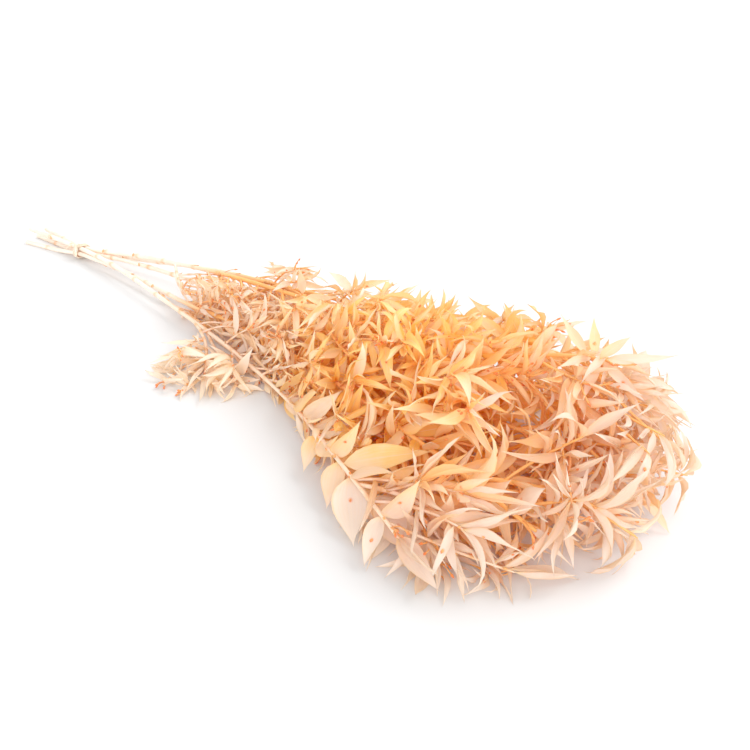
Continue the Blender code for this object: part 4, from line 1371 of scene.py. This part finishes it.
def add_leaf_bud(skin, leaf, rng):
    """A small bud with two scales on the blade's upper side, near its middle."""
    t = np.array((leaf.bud_at, leaf.bud_at + BLADE_STEP_ALONG))
    middle = leaf.surface(t, np.zeros(2))
    beside = leaf.surface(t, np.full(2, BLADE_STEP_ACROSS))
    along = Vector(middle[1] - middle[0]).normalized()
    normal = along.cross(Vector(beside[0] - middle[0])).normalized()
    size = rng.uniform(*LEAF_BUD_SIZES)
    centre = Vector(middle[0]) + normal * LEAF_BUD_HEIGHT * size
    radius, length = LEAF_BUD_RADIUS * size, LEAF_BUD_LENGTH * size
    add_bead(skin, centre, along + normal * LEAF_BUD_LEAN, radius, length, 0.0, rng.random())
    radius, length = radius * BUD_SCALE_RADIUS, length * BUD_SCALE_LENGTH
    for turn in BUD_SCALE_TURNS:
        lean = along.copy()
        lean.rotate(Quaternion(normal, turn))
        add_bead(skin, centre, lean + normal * BUD_SCALE_LEAN, radius, length, BUD_SCALE_PAPERY, rng.random())


def add_stalk(bark, buds, root, direction, rng, red):
    """A thin stalk with a red-tipped bud at its end, where it fits in the outline."""
    length = rng.uniform(*STALK_LENGTH)
    bow = turned_round(direction, rng.uniform(0, math.tau)) * (length * STALK_BOW)
    points = []
    for share in np.linspace(0, 1, STALK_POINTS):
        point = root + direction * (length * share) + bow * math.sin(share * math.pi)
        points.append(above(point, STALK_RADIUS + TABLE_GAP))
    if max(in_outline(point) for point in points) > STALK_REACH:
        return
    radii = np.linspace(*STALK_TAPER, STALK_POINTS) * STALK_RADIUS
    add_tube(bark, points, round_axes(points, radii), bark_marks(points, red), STALK_SIDES)
    along = (points[-1] - points[-2]).normalized()
    end = above(points[-1], STALK_BUD_LEAST_HEIGHT)
    chance = rng.random() * STALK_BUD_LIGHTEST
    add_bead(buds, end, along, STALK_BUD_RADIUS, STALK_BUD_LENGTH, 0.0, chance)


def add_stalks(bark, buds, shoot, share, count, rng, red):
    """A cluster of bud stalks from one place on the shoot."""
    root, forward = shoot.at(share)
    for _ in range(count):
        outward = turned_round(forward, rng.uniform(0, math.tau))
        direction = (forward + outward * rng.uniform(*STALK_SPREAD)).normalized()
        add_stalk(bark, buds, root, direction, rng, red)


def add_twig(bark, buds, shoot, sides, rng, is_twig):
    """A side branch or twig with its joints, the scale at its foot and perhaps bud stalks at its tip."""
    red = rng.uniform(*(RED if is_twig and rng.random() < RED_TWIGS else FAINT_RED))
    joints = joint_shares(shoot.length(), TWIG_JOINTS, rng)
    add_shoot(bark, shoot, sides, 0, joints, red, rng)
    root, forward = shoot.at(TWIG_SCALE_AT)
    outward = turned_round(forward, rng.uniform(0, math.tau))
    radius, length = shoot.radii[0] * TWIG_SCALE_RADIUS, rng.uniform(*TWIG_SCALE_LENGTH) * MM
    add_scale(buds, root, forward, outward, radius, length, rng.random())
    if rng.random() < CLUSTERED_TIPS:
        add_stalks(bark, buds, shoot, CLUSTER_AT, rng.randint(*STALKS_IN_CLUSTER), rng, red)


def add_stem(bark, buds, stem, rng):
    """The main stem with its joints and their scales."""
    joints = joint_shares(stem.length(), STEM_JOINTS, rng)
    add_shoot(bark, stem, STEM_SIDES, STEM_RIDGE, joints, 0.0, rng)
    for share in joints:
        if rng.random() < SCALED_JOINTS:
            root, forward = stem.at(share)
            outward = turned_round(forward, rng.uniform(0, math.tau))
            radius = float(np.interp(share, np.linspace(0, 1, len(stem.radii)), stem.radii))
            length = rng.uniform(*STEM_SCALE_LENGTH) * MM
            add_scale(buds, root, forward, outward, radius, length, rng.random())


def dress(bunch, leaf_shader, bark_skin, bud_skin):
    """The leaves, bark and buds of each stem, in the place of its solid."""
    rng = random.Random(FINE_SEED + 1)
    for stem in bunch.stems:
        name = stem.stem.split("_")[1]
        leaves, bark, buds = Skin(), Skin(), Skin()
        for leaf in bunch.leaves:
            if leaf.stem == stem.stem:
                budded = BUDDED_WIDE_LEAVES if leaf.width > WIDE_LEAF else BUDDED_LEAVES
                leaf.bud_at = rng.uniform(*BUD_PLACES) if rng.random() < budded else NO_BUD
                add_leaf(leaves, leaf, rng)
                if leaf.bud_at != NO_BUD:
                    add_leaf_bud(buds, leaf, rng)
                if rng.random() < AXIL_BUDS:
                    along = leaf.pose.col[0] + leaf.pose.col[2]
                    centre = above(leaf.root + along * AXIL_BUD_OUT, AXIL_BUD_LEAST_HEIGHT)
                    papery, chance = rng.random(), rng.random()
                    add_bead(buds, centre, along, AXIL_BUD_RADIUS, AXIL_BUD_LENGTH, papery, chance)
        add_stem(bark, buds, stem, rng)
        for shoots, sides in ((bunch.branches, BRANCH_SIDES), (bunch.twigs, TWIG_SIDES)):
            for shoot in shoots:
                if shoot.stem == stem.stem:
                    add_twig(bark, buds, shoot, sides, rng, shoots is bunch.twigs)
        add_stalks(bark, buds, stem, END_STALKS_AT, END_STALKS.get(stem.stem, 0), rng, END_STALKS_RED)
        leaves.piece(f"leaves_{name}", leaf_shader, "leaf", stem.stem, SHARP_BLADE_EDGE)
        bark.piece(f"bark_{name}", bark_skin, "bark", stem.stem, SHARP_EDGE)
        buds.piece(f"buds_{name}", bud_skin, "bud", stem.stem, SHARP_EDGE)


# The tie: strips of raffia wound round the stems in two layers, and a knot with two short ends.
TIE_X = ZERO_X + 24 * MM
TIE_LENGTH = 9 * MM
STRIP_SIDES = 8
STRIP_STEPS_PER_TURN = 40

# For each layer: how far it lies off the stems, where along the tie it starts and ends, its turns, and the
# strip's half width and half thickness.
WINDINGS = (
    (0.66 * MM, -0.46, 0.46, 6, 0.66 * MM, 0.24 * MM),
    (1.2 * MM, 0.42, -0.34, -3, 0.62 * MM, 0.26 * MM),
)
KNOT_FACING = math.radians(118)
KNOT_OFFSET = 1.5 * MM
KNOT_STEP, KNOT_LEAST_HEIGHT = 0.7 * MM, 0.6 * MM
KNOT_HALF_WIDTH, KNOT_HALF_THICKNESS = 0.75 * MM, 0.25 * MM

# Each strip's points in millimetres from the knot's middle: along the bunch, round the tie, and outwards.
KNOT_STRIPS = (
    ((-2.6, 0.4, -0.7), (-1.6, 0.7, 0.9), (0.0, 0.5, 1.6), (1.6, 0.1, 0.9), (2.6, -0.2, -0.7)),
    ((0.5, 2.7, -0.7), (0.3, 1.4, 1.3), (0.0, 0.0, 2.3), (-0.3, -1.4, 1.3), (-0.5, -2.7, -0.7)),
    ((1.4, 1.8, -0.5), (1.0, 0.8, 1.5), (-0.6, -0.6, 1.9), (-1.8, -1.6, 0.6), (-2.2, -2.4, -0.8)),
    ((-0.4, 0.6, 1.2), (2.4, -0.8, 2.0), (6.0, -3.0, 2.2), (9.5, -6.5, 0.6), (12.0, -9.5, -1.0)),
    ((0.4, 0.3, 1.0), (-1.8, -1.2, 1.9), (-5.0, -4.2, 2.0), (-7.5, -7.8, 0.8), (-11.0, -10.5, -1.4)),
)


def add_strip(skin, points, outward, half_width, half_thickness):
    """A flat strip whose thin side faces outward at each point."""
    axes = []
    for i, facing in enumerate(outward):
        tangent = tangent_at(points, i)
        across = tangent.cross(facing).normalized()
        axes.append((across * half_width, across.cross(tangent) * half_thickness))
    add_tube(skin, points, axes, np.zeros((len(points), 3)), STRIP_SIDES)


def tie_pieces(bunch):
    """Windings that follow the stems' outline, as the band of the solid does, and the knot."""
    skin = Skin()
    rounds = []
    for stem in bunch.stems:
        for x in (TIE_X - TIE_LENGTH / 2, TIE_X, TIE_X + TIE_LENGTH / 2):
            point = stem.passing(x)
            rounds.append(Vector((0, point.y, point.z)))

    def at_tie(share, angle, offset):
        facing = Vector((0, math.cos(angle), math.sin(angle)))
        spot = max(rounds, key=facing.dot) + facing * (STEM_RADIUS + offset)
        return above(Vector((TIE_X + share * TIE_LENGTH, spot.y, spot.z)), offset), facing

    for offset, start, end, turns, half_width, half_thickness in WINDINGS:
        steps = STRIP_STEPS_PER_TURN * abs(turns)
        places = []
        for k in range(steps + 1):
            share = start + (end - start) * k / steps
            places.append(at_tie(share, KNOT_FACING + math.tau * turns * k / steps, offset))
        spots, facings = zip(*places)
        add_strip(skin, spots, facings, half_width, half_thickness)
    centre, facing = at_tie(0, KNOT_FACING, KNOT_OFFSET)
    along = Vector((1, 0, 0))
    pose = Matrix((along, facing.cross(along), facing)).transposed()
    for knots in KNOT_STRIPS:
        route = [centre + pose @ (Vector(knot) * MM) for knot in knots]
        points = [above(point, KNOT_LEAST_HEIGHT) for point in smooth_route(route, KNOT_STEP)]
        add_strip(skin, points, [facing] * len(points), KNOT_HALF_WIDTH, KNOT_HALF_THICKNESS)
    skin.piece("raffia_tie", raffia_material(), "raffia", "tie", SHARP_EDGE)


FLOOR_HALF_SIZE = 14.0
FLOOR_COLOUR = (0.66, 0.66, 0.66)
FLOOR_ROUGHNESS, FLOOR_GLOSS = 0.9, 0.1


def stage_floor():
    size = FLOOR_HALF_SIZE
    mesh = bpy.data.meshes.new("floor")
    corners = [(-size, -size, 0), (size, -size, 0), (size, size, 0), (-size, size, 0)]
    mesh.from_pydata(corners, [], [(0, 1, 2, 3)])
    floor = add_object("floor", mesh)
    nodes = Nodes("floor")
    nodes.put(nodes.shader.inputs["Base Color"], FLOOR_COLOUR)
    nodes.put(nodes.shader.inputs["Roughness"], FLOOR_ROUGHNESS)
    nodes.put(nodes.shader.inputs["Specular IOR Level"], FLOOR_GLOSS)
    mesh.materials.append(nodes.material)


# The camera's place in millimetres from the zero, the level direction that it looks in, how far it looks
# down, and its lens.
EYE = (702, -283, 247)
HEADING = Vector((-math.sqrt(0.5), math.sqrt(0.5), 0))
PITCH = math.radians(29.5)
LENS, CLIP_START = 34.2, 0.01

# Each light's name, the direction that it comes from, its strength, and how wide it looks in degrees.
LIGHTS = (
    ("key", (0.3, 0.8, 0.9), 2.45, 45),
    ("fill", (0.66, -0.66, 0.36), 2.7, 80),
)
SKY = 0.87
GAMMA = 1.2
MOST_BOUNCES = 24


def light_and_camera():
    scene = bpy.context.scene
    camera = bpy.data.cameras.new("camera")
    camera.lens = LENS
    camera.clip_start = CLIP_START
    eye = add_object("camera", camera)
    eye.location = from_zero(*EYE)
    look = HEADING * math.cos(PITCH) - UP * math.sin(PITCH)
    eye.rotation_euler = look.to_track_quat("-Z", "Y").to_euler()
    scene.camera = eye
    world = bpy.data.worlds.new("world")
    scene.world = world
    world.use_nodes = True
    sky = world.node_tree.nodes["Background"]
    sky.inputs["Color"].default_value = (1, 1, 1, 1)
    sky.inputs["Strength"].default_value = SKY
    for name, direction, strength, width in LIGHTS:
        sun = bpy.data.lights.new(name, "SUN")
        sun.energy = strength
        sun.angle = math.radians(width)
        lamp = add_object(name, sun)
        lamp.location = Vector(direction)
        lamp.rotation_euler = (-lamp.location).to_track_quat("-Z", "Y").to_euler()
    scene.view_settings.view_transform = "Standard"
    scene.view_settings.gamma = GAMMA
    scene.cycles.max_bounces = MOST_BOUNCES
    scene.cycles.diffuse_bounces = MOST_BOUNCES
    scene.cycles.transmission_bounces = MOST_BOUNCES


light_and_camera()
stage_floor()
bunch = Bunch()
bunch.fill()
dress(bunch, leaf_material(), bark_material(), bud_material())
tie_pieces(bunch)
